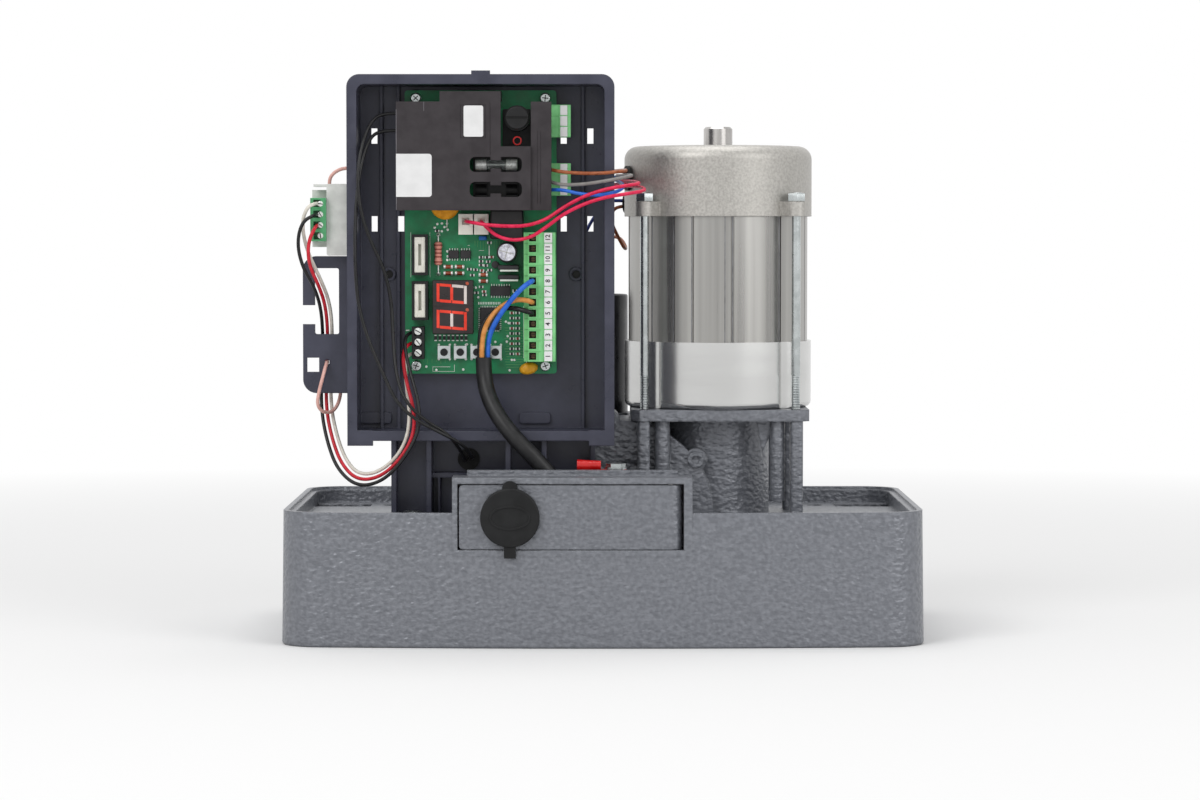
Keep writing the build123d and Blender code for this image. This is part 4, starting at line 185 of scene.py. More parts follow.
plastics = {
    "trayPlastic": dict(
        colour=(0.235, 0.24, 0.295), gap=0.02, grain=90.0, rough=(0.26, 0.38), relief=0.2, shine=0.35,
        wornEdge=0.0009),
    "coverPlastic": dict(
        colour=(0.215, 0.20, 0.21), gap=0.02, grain=120.0, rough=(0.42, 0.58), relief=0.3, shine=0.2,
        wornEdge=0.0005),
    # painted highlight: a pale grey laid as strips on the cover's lit edges
    "paintedCoverHighlight": dict(colour=(0.44, 0.43, 0.45), gap=0.04, rough=(0.3, 0.45)),
    "blackPlastic": dict(colour=(0.075, 0.075, 0.08), gap=0.02),
    "capPlastic": dict(
        colour=(0.105, 0.107, 0.11), gap=0.015, rough=(0.36, 0.48), relief=0.3, shine=0.2, wornEdge=0.0004),
    "capacitorPlastic": dict(colour=(0.10, 0.10, 0.13), gap=0.02, rough=(0.25, 0.4)),
    "blackRubber": dict(colour=(0.09, 0.09, 0.09), gap=0.02, rough=(0.6, 0.75), relief=0.3),
    "terminalGreen": dict(colour=(0.47, 0.76, 0.50), rough=(0.3, 0.45)),
    # painted shade on the terminal block, and the real colour of the copper tracks
    "paintedShadeAndTrackGreen": dict(colour=(0.33, 0.60, 0.37)),
    "sensorGreen": dict(colour=(0.32, 0.62, 0.42), rough=(0.3, 0.45)),
    "whitePlastic": dict(colour=(0.86, 0.85, 0.81)),
    "labelWhite": dict(colour=(0.88, 0.88, 0.88), gap=0.015, rough=(0.3, 0.42)),
    "inkWhite": dict(colour=(0.85, 0.87, 0.84), gap=0.03, rough=(0.5, 0.6)),
    # real print, and painted shade in screw slots, cross recesses and tray holes
    "printAndShadeBlack": dict(colour=(0.12, 0.12, 0.12), gap=0.02, rough=(0.5, 0.6)),
    "sensorGrey": dict(colour=(0.83, 0.835, 0.82)),
    "redPlastic": dict(colour=(0.80, 0.10, 0.10), rough=(0.22, 0.34), coat=0.4),
    "chipDark": dict(colour=(0.17, 0.16, 0.17), gap=0.02, rough=(0.4, 0.55)),
    "relayBlack": dict(colour=(0.12, 0.115, 0.12), gap=0.02, rough=(0.3, 0.45)),
    # painted shade: a dark brown at the back and side of each terminal hole and in its screw slot
    "paintedHoleShade": dict(colour=(0.19, 0.15, 0.11), gap=0.04, rough=(0.5, 0.7)),
    "brownScrew": dict(colour=(0.40, 0.30, 0.21), gap=0.05),
    "grooveGrey": dict(colour=(0.62, 0.62, 0.58), rough=(0.4, 0.55)),
    "displayFace": dict(colour=(0.19, 0.165, 0.165), gap=0.015, rough=(0.25, 0.4)),
    "segmentLit": dict(colour=(0.86, 0.24, 0.17), gap=0.04, rough=(0.35, 0.45), glow=0.12),
    "segmentPale": dict(colour=(0.84, 0.80, 0.78), gap=0.03, rough=(0.35, 0.45)),
    "pointDim": dict(colour=(0.70, 0.33, 0.24), gap=0.03, rough=(0.35, 0.45)),
    "resistorPink": dict(colour=(0.84, 0.56, 0.50)),
    "bandBrown": dict(colour=(0.50, 0.20, 0.17)),
    "diodeGlass": dict(colour=(0.58, 0.25, 0.14), gap=0.08, rough=(0.08, 0.2), coat=0.5),
    "varistorOrange": dict(colour=(0.93, 0.62, 0.10), gap=0.05, rough=(0.3, 0.45), grain=400.0),
    "discYellow": dict(colour=(0.86, 0.62, 0.13), gap=0.05, rough=(0.3, 0.45), grain=500.0),
    "capBlue": dict(colour=(0.14, 0.40, 0.70), rough=(0.3, 0.45)),
    "sheath": dict(colour=(0.12, 0.12, 0.125), gap=0.02, grain=240.0, rough=(0.34, 0.48), relief=0.2),
}
# leads and cores: colour and half its mottle
glossLeads = {
    "coreBlue": ((0.16, 0.40, 0.80), 0.04),
    "coreBrown": ((0.82, 0.55, 0.28), 0.05),
    "leadBrown": ((0.62, 0.34, 0.20), 0.05),
    "leadBlack": ((0.10, 0.10, 0.105), 0.02),
    "leadRed": ((0.78, 0.14, 0.20), 0.04),
    "leadCrimson": ((0.85, 0.12, 0.30), 0.04),
    "leadNavy": ((0.15, 0.22, 0.50), 0.03),
}
mattLeads = {
    "leadWhite": ((0.84, 0.82, 0.78), 0.03),
    "leadGrey": ((0.52, 0.51, 0.50), 0.03),
    "leadPink": ((0.87, 0.68, 0.64), 0.03),
}
finishes = {name: surface(name, **setup) for name, setup in surfaces.items()}
finishes.update({name: plastic(name, **setup) for name, setup in plastics.items()})
for leadSet, leadRough in ((glossLeads, (0.25, 0.4)), (mattLeads, (0.3, 0.45))):
    for name, (colour, gap) in leadSet.items():
        finishes[name] = plastic(name, colour, gap, grain=320.0, rough=leadRough)
print("finishes are mixed:", len(finishes))

# Free cords first: the route's own points are the control points of each spline.
thinLead = {"radius": 0.85, "stiffness": "limp"}
cordKinds = {
    "mains_cable": {"radius": 3.9, "stiffness": "stiff"}, "mains_cores": {"radius": 1.2, "stiffness": "medium"},
    "accessory_leads": {"radius": 0.8, "stiffness": "limp"},
}
cords = {
    "mainsCable": {"node": "mains_cable", "finish": "sheath", "slot": "black_rubber",
        "length": 0.0934, "points": [
        (-0.0158, -0.0639, 0.05625), (-0.017, -0.0648, 0.0656), (-0.0226, -0.0676, 0.0764),
        (-0.0312, -0.069, 0.0864), (-0.04, -0.0686, 0.095), (-0.0488, -0.065, 0.1055),
        (-0.0546, -0.0586, 0.1165), (-0.0564, -0.055, 0.127), (-0.0564, -0.055, 0.134),
    ]},
    "coreBlue": {"node": "mains_cores", "finish": "coreBlue", "slot": "core_blue",
        "length": 0.0536, "points": [
        (-0.0545, -0.0546, 0.134), (-0.0545, -0.0546, 0.1405), (-0.0526, -0.0575, 0.147),
        (-0.049, -0.0605, 0.1535), (-0.0438, -0.0625, 0.1605), (-0.0386, -0.0636, 0.1664),
        (-0.0344, -0.0628, 0.1696), (-0.0332, -0.0598, 0.1701), (-0.0332, -0.053, 0.1701),
    ]},
    "coreBrown": {"node": "mains_cores", "finish": "coreBrown", "slot": "lead_brown",
        "length": 0.0491, "points": [
        (-0.0572, -0.0566, 0.134), (-0.0572, -0.0566, 0.141), (-0.0556, -0.0574, 0.1485),
        (-0.0514, -0.0582, 0.1552), (-0.0454, -0.0589, 0.1598), (-0.0396, -0.0604, 0.1616),
        (-0.035, -0.0608, 0.1608), (-0.0332, -0.0586, 0.15994), (-0.0332, -0.053, 0.15994),
    ]},
    "coreBlack": {"node": "mains_cores", "finish": "leadBlack", "slot": "lead_black",
        "length": 0.0492, "points": [
        (-0.0583, -0.0538, 0.134), (-0.0583, -0.0538, 0.1415), (-0.0574, -0.0536, 0.1485),
        (-0.0532, -0.0538, 0.1546), (-0.047, -0.0554, 0.1574), (-0.0408, -0.0586, 0.1572),
        (-0.0358, -0.0602, 0.1558), (-0.0332, -0.0584, 0.15486), (-0.0332, -0.053, 0.15486),
    ]},
    "leadOuter": {"node": "accessory_leads", "finish": "leadBlack", "slot": "lead_black",
        "length": 0.2120, "points": [
        (-0.0972, -0.052, 0.241), (-0.1036, -0.052, 0.241), (-0.1094, -0.0554, 0.2384),
        (-0.113, -0.0604, 0.228), (-0.1153, -0.0654, 0.212), (-0.1161, -0.0684, 0.194),
        (-0.116, -0.07, 0.176), (-0.1146, -0.069, 0.158), (-0.1096, -0.069, 0.1415),
        (-0.1026, -0.071, 0.126), (-0.0966, -0.0742, 0.1135), (-0.0874, -0.0762, 0.1054),
        (-0.0766, -0.075, 0.0998), (-0.0664, -0.0702, 0.0942), (-0.0622, -0.0612, 0.0886),
        (-0.0622, -0.0514, 0.086), (-0.0622, -0.0422, 0.086),
    ]},
    "leadInner": {"node": "accessory_leads", "finish": "leadBlack", "slot": "lead_black",
        "length": 0.2136, "points": [
        (-0.0972, -0.054, 0.249), (-0.1032, -0.054, 0.249), (-0.1086, -0.0578, 0.246),
        (-0.1128, -0.0646, 0.235), (-0.115, -0.0686, 0.22), (-0.1136, -0.069, 0.203),
        (-0.109, -0.0664, 0.1888), (-0.1028, -0.0626, 0.176), (-0.0996, -0.0596, 0.161),
        (-0.0988, -0.0614, 0.143), (-0.0972, -0.0664, 0.126), (-0.0926, -0.071, 0.1136),
        (-0.0834, -0.0728, 0.105), (-0.0724, -0.071, 0.0986), (-0.0674, -0.0644, 0.091),
        (-0.0656, -0.0568, 0.0864), (-0.0656, -0.0494, 0.0846), (-0.0656, -0.0422, 0.0846),
    ]},
    "sensorWhite": {"node": "sensor_wires", "finish": "leadWhite", "slot": "lead_white",
        "length": 0.2340, "points": [
        (-0.0895, -0.046, 0.13554), (-0.0926, -0.047, 0.1352), (-0.0938, -0.052, 0.131),
        (-0.0928, -0.0586, 0.121), (-0.0908, -0.0642, 0.108), (-0.092, -0.0662, 0.096),
        (-0.098, -0.066, 0.086), (-0.107, -0.0646, 0.0796), (-0.1156, -0.0616, 0.0792),
        (-0.1216, -0.0556, 0.0854), (-0.126, -0.049, 0.0954), (-0.1294, -0.0436, 0.109),
        (-0.1296, -0.0422, 0.127), (-0.1286, -0.0428, 0.145), (-0.1294, -0.049, 0.16),
        (-0.1336, -0.0574, 0.172), (-0.1394, -0.0624, 0.185), (-0.1414, -0.0646, 0.1974),
        (-0.1386, -0.066, 0.205), (-0.1345, -0.0646, 0.20658), (-0.1345, -0.056, 0.20658),
    ]},
    "sensorRed": {"node": "sensor_wires", "finish": "leadRed", "slot": "lead_crimson",
        "length": 0.2357, "points": [
        (-0.0895, -0.046, 0.14062), (-0.093, -0.048, 0.1402), (-0.0948, -0.0545, 0.1345),
        (-0.0926, -0.0616, 0.1225), (-0.0888, -0.0656, 0.11), (-0.0886, -0.068, 0.098),
        (-0.095, -0.069, 0.0866), (-0.1046, -0.0674, 0.078), (-0.1154, -0.0636, 0.0762),
        (-0.1234, -0.0566, 0.083), (-0.1284, -0.0496, 0.0944), (-0.1318, -0.0436, 0.109),
        (-0.1316, -0.0418, 0.127), (-0.1308, -0.0422, 0.144), (-0.1314, -0.0494, 0.1584),
        (-0.134, -0.0578, 0.168), (-0.138, -0.0636, 0.1774), (-0.1384, -0.0664, 0.188),
        (-0.1345, -0.0654, 0.19642), (-0.1345, -0.056, 0.19642),
    ]},
    "sensorBlack": {"node": "sensor_wires", "finish": "leadBlack", "slot": "lead_black",
        "length": 0.2602, "points": [
        (-0.0895, -0.046, 0.1457), (-0.0932, -0.049, 0.1452), (-0.0938, -0.0562, 0.139),
        (-0.0906, -0.063, 0.127), (-0.0866, -0.0676, 0.114), (-0.0858, -0.0702, 0.101),
        (-0.0924, -0.0718, 0.088), (-0.1026, -0.0704, 0.0766), (-0.115, -0.0662, 0.0732),
        (-0.1252, -0.0584, 0.0806), (-0.1308, -0.0504, 0.0934), (-0.1342, -0.0438, 0.109),
        (-0.1338, -0.0416, 0.127), (-0.1332, -0.0424, 0.1446), (-0.1336, -0.0506, 0.158),
        (-0.1362, -0.0594, 0.1678), (-0.1412, -0.0644, 0.177), (-0.1434, -0.0664, 0.188),
        (-0.141, -0.0674, 0.198), (-0.1345, -0.0666, 0.2015), (-0.1345, -0.056, 0.2015),
    ]},
    "sensorPinkUpper": {"node": "sensor_wires", "finish": "leadPink", "slot": "lead_white",
        "length": 0.0153, "points": [
        (-0.1184, -0.049, 0.2234), (-0.1226, -0.049, 0.2234), (-0.1268, -0.049, 0.2216),
        (-0.1294, -0.049, 0.2186), (-0.1294, -0.049, 0.2158),
    ]},
    "sensorPinkLower": {"node": "sensor_wires", "finish": "leadPink", "slot": "lead_white",
        "length": 0.0561, "points": [
        (-0.1307, -0.0475, 0.1315), (-0.1307, -0.053, 0.1315), (-0.132, -0.0556, 0.126),
        (-0.1344, -0.0558, 0.117), (-0.1352, -0.0544, 0.1112), (-0.1326, -0.0506, 0.1076),
        (-0.1282, -0.0466, 0.1076), (-0.1252, -0.0432, 0.113), (-0.1246, -0.0426, 0.121),
        (-0.1246, -0.0475, 0.121),
    ]},
    "motorBrown": {"node": "motor_leads", "finish": "leadBrown", "slot": "lead_brown",
        "length": 0.0988, "points": [
        (-0.027, -0.046, 0.223), (-0.027, -0.0516, 0.223), (-0.0252, -0.0548, 0.2226),
        (-0.0196, -0.057, 0.2214), (-0.01, -0.0616, 0.2206), (-0.0006, -0.066, 0.2206),
        (0.0074, -0.0644, 0.2214), (0.011, -0.056, 0.222), (0.0106, -0.044, 0.2224),
        (0.0074, -0.032, 0.2224), (0.0044, -0.022, 0.2222), (0.00593, -0.01579, 0.2222),
        (0.01118, -0.01413, 0.2222),
    ]},
    "motorGrey": {"node": "motor_leads", "finish": "leadGrey", "slot": "lead_black",
        "length": 0.1021, "points": [
        (-0.027, -0.046, 0.21792), (-0.027, -0.0518, 0.21792), (-0.025, -0.0548, 0.2168),
        (-0.0194, -0.058, 0.2152), (-0.01, -0.0636, 0.2154), (-0.0008, -0.0682, 0.2166),
        (0.0086, -0.0668, 0.2184), (0.0136, -0.058, 0.2196), (0.0134, -0.0456, 0.22),
        (0.01, -0.034, 0.22), (0.0068, -0.024, 0.22), (0.0065, -0.0176, 0.22),
        (0.01175, -0.01595, 0.22),
    ]},
    "motorBlue": {"node": "motor_leads", "finish": "coreBlue", "slot": "core_blue",
        "length": 0.0999, "points": [
        (-0.027, -0.046, 0.21284), (-0.027, -0.0518, 0.21284), (-0.025, -0.0546, 0.213),
        (-0.0192, -0.0584, 0.213), (-0.011, -0.0628, 0.211), (-0.0018, -0.0658, 0.2102),
        (0.0062, -0.0636, 0.2118), (0.0098, -0.055, 0.214), (0.0092, -0.043, 0.2162),
        (0.0058, -0.031, 0.218), (0.003, -0.0206, 0.2193), (0.00536, -0.01397, 0.2194),
        (0.0106, -0.01232, 0.2194),
    ]},
    "crimsonUpper": {"node": "thermal_leads", "finish": "leadCrimson", "slot": "lead_crimson",
        "length": 0.1503, "points": [
        (-0.0649, -0.05, 0.1982), (-0.0649, -0.0554, 0.1982), (-0.0616, -0.0604, 0.1976),
        (-0.0544, -0.0634, 0.1964), (-0.045, -0.064, 0.1958), (-0.0354, -0.064, 0.196),
        (-0.0264, -0.0644, 0.199), (-0.0178, -0.066, 0.2052), (-0.0082, -0.0684, 0.2102),
        (0.0014, -0.0712, 0.2132), (0.0108, -0.071, 0.2148), (0.017, -0.0626, 0.2158),
        (0.0166, -0.049, 0.2166), (0.0134, -0.0366, 0.2172), (0.0088, -0.026, 0.2173),
        (0.00629, -0.01693, 0.2173), (0.01154, -0.01528, 0.2173),
    ]},
    "crimsonLower": {"node": "thermal_leads", "finish": "leadCrimson", "slot": "lead_crimson",
        "length": 0.1564, "points": [
        (-0.0575, -0.05, 0.1982), (-0.0575, -0.0556, 0.1982), (-0.0552, -0.059, 0.1956),
        (-0.0498, -0.06, 0.191), (-0.042, -0.0612, 0.189), (-0.0336, -0.063, 0.1906),
        (-0.026, -0.066, 0.1958), (-0.0184, -0.0694, 0.2016), (-0.0086, -0.0724, 0.2064),
        (0.0012, -0.0748, 0.2094), (0.0116, -0.074, 0.211), (0.0194, -0.0654, 0.2124),
        (0.0196, -0.052, 0.2138), (0.0148, -0.04, 0.215), (0.0082, -0.029, 0.2152),
        (0.0036, -0.0206, 0.2158), (0.00557, -0.01464, 0.216), (0.01081, -0.01299, 0.216),
    ]},
    "capacitorNavy": {"node": "capacitor_leads", "finish": "leadNavy", "slot": "lead_navy",
        "length": 0.0672, "points": [
        (-0.0125, 0.048, 0.17), (-0.0125, 0.048, 0.178), (-0.0106, 0.0456, 0.188),
        (-0.0066, 0.0404, 0.197), (-0.002, 0.033, 0.2036), (0.0014, 0.0244, 0.2074),
        (0.0036, 0.0176, 0.2085), (0.00521, 0.0133, 0.2084), (0.01052, 0.01187, 0.2084),
    ]},
    "capacitorTan": {"node": "capacitor_leads", "finish": "leadBrown", "slot": "lead_brown",
        "length": 0.0751, "points": [
        (-0.0005, 0.048, 0.17), (-0.0005, 0.048, 0.178), (0.001, 0.0466, 0.186),
        (0.0046, 0.0434, 0.191), (0.009, 0.039, 0.19), (0.0116, 0.033, 0.1854),
        (0.011, 0.0256, 0.1844), (0.008, 0.0186, 0.1896), (0.0036, 0.0152, 0.1986),
        (0.00537, 0.01388, 0.2056), (0.01068, 0.01245, 0.2056),
    ]},
}


def cordPiece(name, setup):
    kind = cordKinds.get(setup["node"], thinLead)
    curve = bpy.data.curves.new(name, "CURVE")
    curve.dimensions = "3D"
    curve.bevel_depth = kind["radius"] * mm
    curve.bevel_resolution = 4
    curve.resolution_u = 10
    curve.use_fill_caps = True
    spline = curve.splines.new("NURBS")
    spline.points.add(len(setup["points"]) - 1)
    for point, spot in zip(spline.points, setup["points"]):
        point.co = (*spot, 1)
    spline.order_u = 3
    spline.use_endpoint_u = True
    spline.use_smooth = True
    curve.materials.append(finishes[setup["finish"]])
    piece = bpy.data.objects.new(name, curve)
    bpy.context.scene.collection.objects.link(piece)
    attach(piece, "base")
    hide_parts(setup["node"])


for cordName, cordSetup in cords.items():
    cordPiece(cordName, cordSetup)
print("cords are laid:", len(cords))

# The CAD nodes keep their shape and take a finish.
slotFinish = {
    "base_paint": "hammerPaint", "cast_aluminium": "roughCasting", "turned_aluminium": "turnedAluminium",
    "stator_steel": "brushedStator", "shaft_steel": "shaftSteel", "gear_steel": "gearSteel",
    "zinc_steel": "zincSteel", "bronze": "bronze", "copper_enamel": "copperEnamel",
    "tray_plastic": "trayPlastic", "cover_plastic": "coverPlastic", "door_plastic": "doorPaint",
    "black_plastic": "blackPlastic", "black_rubber": "blackRubber", "board_green": "boardGreen",
    "terminal_green": "terminalGreen", "white_plastic": "whitePlastic", "sensor_grey": "sensorGrey",
    "red_plastic": "redPlastic", "component_dark": "chipDark", "display_white": "displayFace",
    "clear_glass": "glass", "core_blue": "coreBlue", "lead_black": "leadBlack", "lead_white": "leadWhite",
    "lead_brown": "leadBrown", "lead_crimson": "leadCrimson", "lead_navy": "leadNavy",
}
ownFinish = {
    "lock_cap": "capPlastic", "run_capacitor": "capacitorPlastic", "sensor_terminal": "sensorGreen",
    "transformer": "relayBlack", "gear_cover": "hammerPaint", "cover_screws": "hammerPaint",
}
for entry in frame["record"]["subparts"]:
    node = nodes[entry["node"]]
    finish = finishes[ownFinish.get(entry["node"], slotFinish[entry["material_slot"]])]
    if not node.material_slots:
        node.data.materials.append(finish)
    for place in node.material_slots:
        place.material = finish
print("nodes have their finish:", len(nodes))


def inOrder(items):
    return list(dict.fromkeys(items))


def added(items, before):
    return [item for item in items if item not in before]


def turnAdded(shape, before, middle, angle, axis="Y"):
    bmesh.ops.rotate(shape, cent=middle, matrix=Matrix.Rotation(math.radians(angle), 3, axis),
                     verts=added(shape.verts, before))


def softenEdges(shape, edges, width, steps=2):
    bmesh.ops.bevel(shape, geom=edges, offset=width, offset_type="OFFSET", segments=steps, profile=0.5,
                    affect="EDGES", material=-1, clamp_overlap=True)


def addBlock(shape, low, high, edge=0.15, index=0, steps=1):
    size = [b - a for a, b in zip(low, high)]
    middle = [(a + b) / 2 for a, b in zip(low, high)]
    place = Matrix.Translation(middle) @ Matrix.Diagonal((*size, 1))
    verts = bmesh.ops.create_cube(shape, size=1.0, matrix=place)["verts"]
    for face in inOrder(face for vert in verts for face in vert.link_faces):
        face.material_index = index
    if edge:
        softenEdges(shape, inOrder(e for vert in verts for e in vert.link_edges), edge, steps)


def addPlate(shape, low, high, corner, index=0, corners=("left", "right")):
    # flat plate facing the viewer, with its upright corners rounded
    before = set(shape.edges)
    addBlock(shape, low, high, 0.0, index)
    middle = (low[0] + high[0]) / 2
    upright = [e for e in added(shape.edges, before) if abs(e.verts[0].co.y - e.verts[1].co.y) > 1e-4
               and ("left" if e.verts[0].co.x < middle else "right") in corners]
    softenEdges(shape, upright, corner, 5)


def addRound(shape, middle, radius, length, axis="Y", edge=0.15, index=0, sides=32, top=None):
    verts = bmesh.ops.create_cone(
        shape, cap_ends=True, cap_tris=False, segments=sides, radius1=radius,
        radius2=radius if top is None else top, depth=length,
        matrix=Matrix.Translation(middle) @ turnTo[axis])["verts"]
    faces = inOrder(face for vert in verts for face in vert.link_faces)
    for face in faces:
        face.material_index = index
    if edge:
        softenEdges(shape, inOrder(e for face in faces if len(face.verts) == sides for e in face.edges), edge)


def addLathe(shape, middle, outline, axis="Y", index=0, sides=32, closed=False):
    # outline: pairs of radius and distance along the axis, turned once round
    place = Matrix.Translation(middle) @ turnTo[axis]
    before = set(shape.faces)
    verts = [shape.verts.new(place @ Vector((radius, 0, along))) for radius, along in outline]
    pairs = list(zip(verts, verts[1:])) + ([(verts[-1], verts[0])] if closed else [])
    edges = [shape.edges.new(pair) for pair in pairs]
    bmesh.ops.spin(shape, geom=verts + edges, cent=middle, axis=place.to_3x3() @ Vector((0, 0, 1)),
                   angle=2 * math.pi, steps=sides, use_merge=True)
    for face in added(shape.faces, before):
        face.material_index = index


def addText(shape, words, size, place, index=0):
    curve = bpy.data.curves.new("number", "FONT")
    curve.body = words
    curve.size = size
    curve.align_x = "CENTER"
    curve.align_y = "CENTER"
    curve.extrude = size / 60
    curve.offset = size / 70  # bold strokes
    curve.resolution_u = 3
    holder = bpy.data.objects.new("number", curve)
    bpy.context.scene.collection.objects.link(holder)
    bpy.context.view_layer.update()
    flat = bpy.data.meshes.new_from_object(holder)
    flat.transform(place)
    before = set(shape.faces)
    shape.from_mesh(flat)
    for face in added(shape.faces, before):
        face.material_index = index
    bpy.data.objects.remove(holder)
    bpy.data.curves.remove(curve)
    bpy.data.meshes.remove(flat)


def keep(shape, name, finishNames, body="base", replaced=(), crease=38):
    bmesh.ops.remove_doubles(shape, verts=shape.verts[:], dist=0.0004)
    bmesh.ops.recalc_face_normals(shape, faces=shape.faces[:])
    bmesh.ops.scale(shape, vec=(mm, mm, mm), verts=shape.verts[:])
    for face in shape.faces:
        face.smooth = True
    mesh = bpy.data.meshes.new(name)
    shape.to_mesh(mesh)
    shape.free()
    mesh.set_sharp_from_angle(angle=math.radians(crease))
    for finishName in finishNames:
        mesh.materials.append(finishes[finishName])
    piece = bpy.data.objects.new(name, mesh)
    bpy.context.scene.collection.objects.link(piece)
    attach(piece, body)
    if replaced:
        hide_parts(*replaced)
    return piece


def addCross(shape, x, front, z, radius, turn, index=0):
    # cross recess of a screw, drawn as two slits of painted shade a hair proud of the head
    before = set(shape.verts)
    addBlock(shape, (x - radius, front - 0.05, z - 0.22), (x + radius, front + 0.3, z + 0.22), 0.0, index)
    addBlock(shape, (x - 0.22, front - 0.05, z - radius), (x + 0.22, front + 0.3, z + radius), 0.0, index)
    turnAdded(shape, before, (x, front, z), turn)


# control board: small parts, traces and marks
board = {"front": -40.0, "left": -94.2, "right": -22.1, "bottom": 125.7, "top": 260.3}


def addOnBoard(shape, left, right, bottom, top, height, edge=0.15, index=0, base=0.0):
    front = board["front"]
    addBlock(shape, (left, front - height, bottom), (right, front - base + 0.05, top), edge, index)


chips = {
    "small": [(-73.5, -68.6, 179.5, 185.4, 4), (-67.8, -62.9, 179.5, 185.4, 4), (-53.6, -44.0, 161.8, 168.4, 8)],
    "smallHeight": 1.6, "legHalf": 0.21, "legReach": 1.05, "legHeight": 0.7,
    "large": (-59.3, -48.4, 145.7, 158.0), "largeHeight": 1.5, "legs": 12, "firstLeg": 1.2,
    "fineHalf": 0.16, "fineReach": 0.85, "fineHeight": 0.5, "mark": 1.9,
    "tall": [(-49.8, -39.8, 174.4, 177.4), (-49.8, -39.8, 169.8, 172.8)], "tallHeight": 9.5, "tabDrop": 0.4,
    "round": (-51.2, 177.6), "roundRadius": 1.75, "roundHeight": 5.0,
}
shape = bmesh.new()
for left, right, bottom, top, count in chips["small"]:
    addOnBoard(shape, left, right, bottom + 1.0, top - 1.0, chips["smallHeight"], 0.2)
    for n in range(count):
        x = left + (right - left) / count * (n + 0.5)
        for low in (bottom, top - chips["legReach"]):
            addOnBoard(shape, x - chips["legHalf"], x + chips["legHalf"], low, low + chips["legReach"],
                       chips["legHeight"], 0.08, 1)
left, right, bottom, top = chips["large"]
half, reach, first, mark = (chips[key] for key in ("fineHalf", "fineReach", "firstLeg", "mark"))
addOnBoard(shape, left + 0.8, right - 0.8, bottom + 0.8, top - 0.8, chips["largeHeight"], 0.2)
addRound(shape, (left + mark, board["front"] - chips["largeHeight"], top - mark), 0.5, 0.06, edge=0, index=2,
         sides=16)
for n in range(chips["legs"]):
    share = n / (chips["legs"] - 1)
    x = left + first + (right - left - 2 * first) * share
    z = bottom + first + (top - bottom - 2 * first) * share
    for low in (bottom, top - reach):
        addOnBoard(shape, x - half, x + half, low, low + reach, chips["fineHeight"], 0.05, 1)
    for low in (left, right - reach):
        addOnBoard(shape, low, low + reach, z - half, z + half, chips["fineHeight"], 0.05, 1)
for left, right, bottom, top in chips["tall"]:
    addOnBoard(shape, left, right, bottom + 0.9, top, chips["tallHeight"], 0.35)
    addOnBoard(shape, left + 1.0, right - 0.4, bottom, bottom + 0.95, chips["tallHeight"] - chips["tabDrop"], 0.1, 3)
x, z = chips["round"]
addRound(shape, (x, board["front"] - chips["roundHeight"] / 2, z), chips["roundRadius"], chips["roundHeight"],
         edge=0.3)
relay = {"box": (-53.2, -37.6, 189.8, 203.5), "height": 15.5}
left, right, bottom, top = relay["box"]
addOnBoard(shape, left, right, bottom, top, relay["height"], 0.7, 4)
addBlock(shape, (left + 1.2, board["front"] - relay["height"] - 0.06, bottom + 1.2),
         (right - 1.2, board["front"] - relay["height"] + 0.1, top - 1.2), 0.0, 4)
keep(shape, "boardChips", ["chipDark", "solder", "displayFace", "inkWhite", "relayBlack"],
     replaced=("board_components",))

# tall electrolytic: sleeve, rolled rim and scored top
can = {"x": -45.5, "z": 183.5, "radius": 4.8, "height": 12.0, "top": 4.0, "scoreHalf": (3.3, 0.16)}
shape = bmesh.new()
canFront = board["front"] - can["height"]
canMiddle = (can["x"], board["front"], can["z"])
radius, high = can["radius"], can["height"]
sleeve = [(0, 0), (radius, 0), (radius, 1.6), (radius - 0.35, 2.0), (radius, 2.4), (radius, high - 0.7),
          (radius - 0.25, high - 0.15), (can["top"] + 0.1, high), (can["top"], high - 0.2)]
addLathe(shape, canMiddle, sleeve, sides=40)
addLathe(shape, canMiddle, [(can["top"], high - 1.0), (can["top"], high - 0.2), (3.4, high - 0.25),
                            (0, high - 0.25)], index=1, sides=40)
halfLong, halfWide = can["scoreHalf"]
for turn in (15, 105):
    before = set(shape.verts)
    addBlock(shape, (can["x"] - halfLong, canFront + 0.15, can["z"] - halfWide),
             (can["x"] + halfLong, canFront + 0.5, can["z"] + halfWide), 0.0, 2)
    turnAdded(shape, before, (can["x"], canFront, can["z"]), turn)
keep(shape, "electrolyticCan", ["relayBlack", "canSilver", "grooveGrey"],
     replaced=("board_components",))

# power resistor with its colour bands and leads
resistor = {
    "x": -78.3, "bottom": 177.4, "depth": -42.0, "leadDepth": -41.4, "leadRadius": 0.35,
    "outline": [(0, 0), (1.35, 0.1), (1.85, 0.7), (1.9, 2.2), (1.65, 3.0), (1.6, 5.5), (1.65, 8.0), (1.9, 8.8),
                (1.85, 10.3), (1.35, 10.9), (0, 11.0)],
    "bands": [(1.2, 1.8, 1.95), (3.6, 4.2, 1.7), (5.4, 6.0, 1.67), (7.2, 7.8, 1.7), (9.2, 9.8, 1.95)],
    "leads": [(-4.0, 0.1), (10.9, 14.2)], "feet": (-4.1, 14.4),
}
shape = bmesh.new()
middle = (resistor["x"], resistor["depth"], resistor["bottom"])
addLathe(shape, middle, resistor["outline"], axis="Z", sides=24)
for low, high, radius in resistor["bands"]:
    addLathe(shape, middle, [(radius - 0.3, low), (radius, low), (radius, high), (radius - 0.3, high)],
             axis="Z", index=1, sides=24, closed=True)
for low, high in resistor["leads"]:
    addRound(shape, (resistor["x"], resistor["leadDepth"], resistor["bottom"] + (low + high) / 2),
             resistor["leadRadius"], high - low, axis="Z", edge=0, index=2, sides=12)
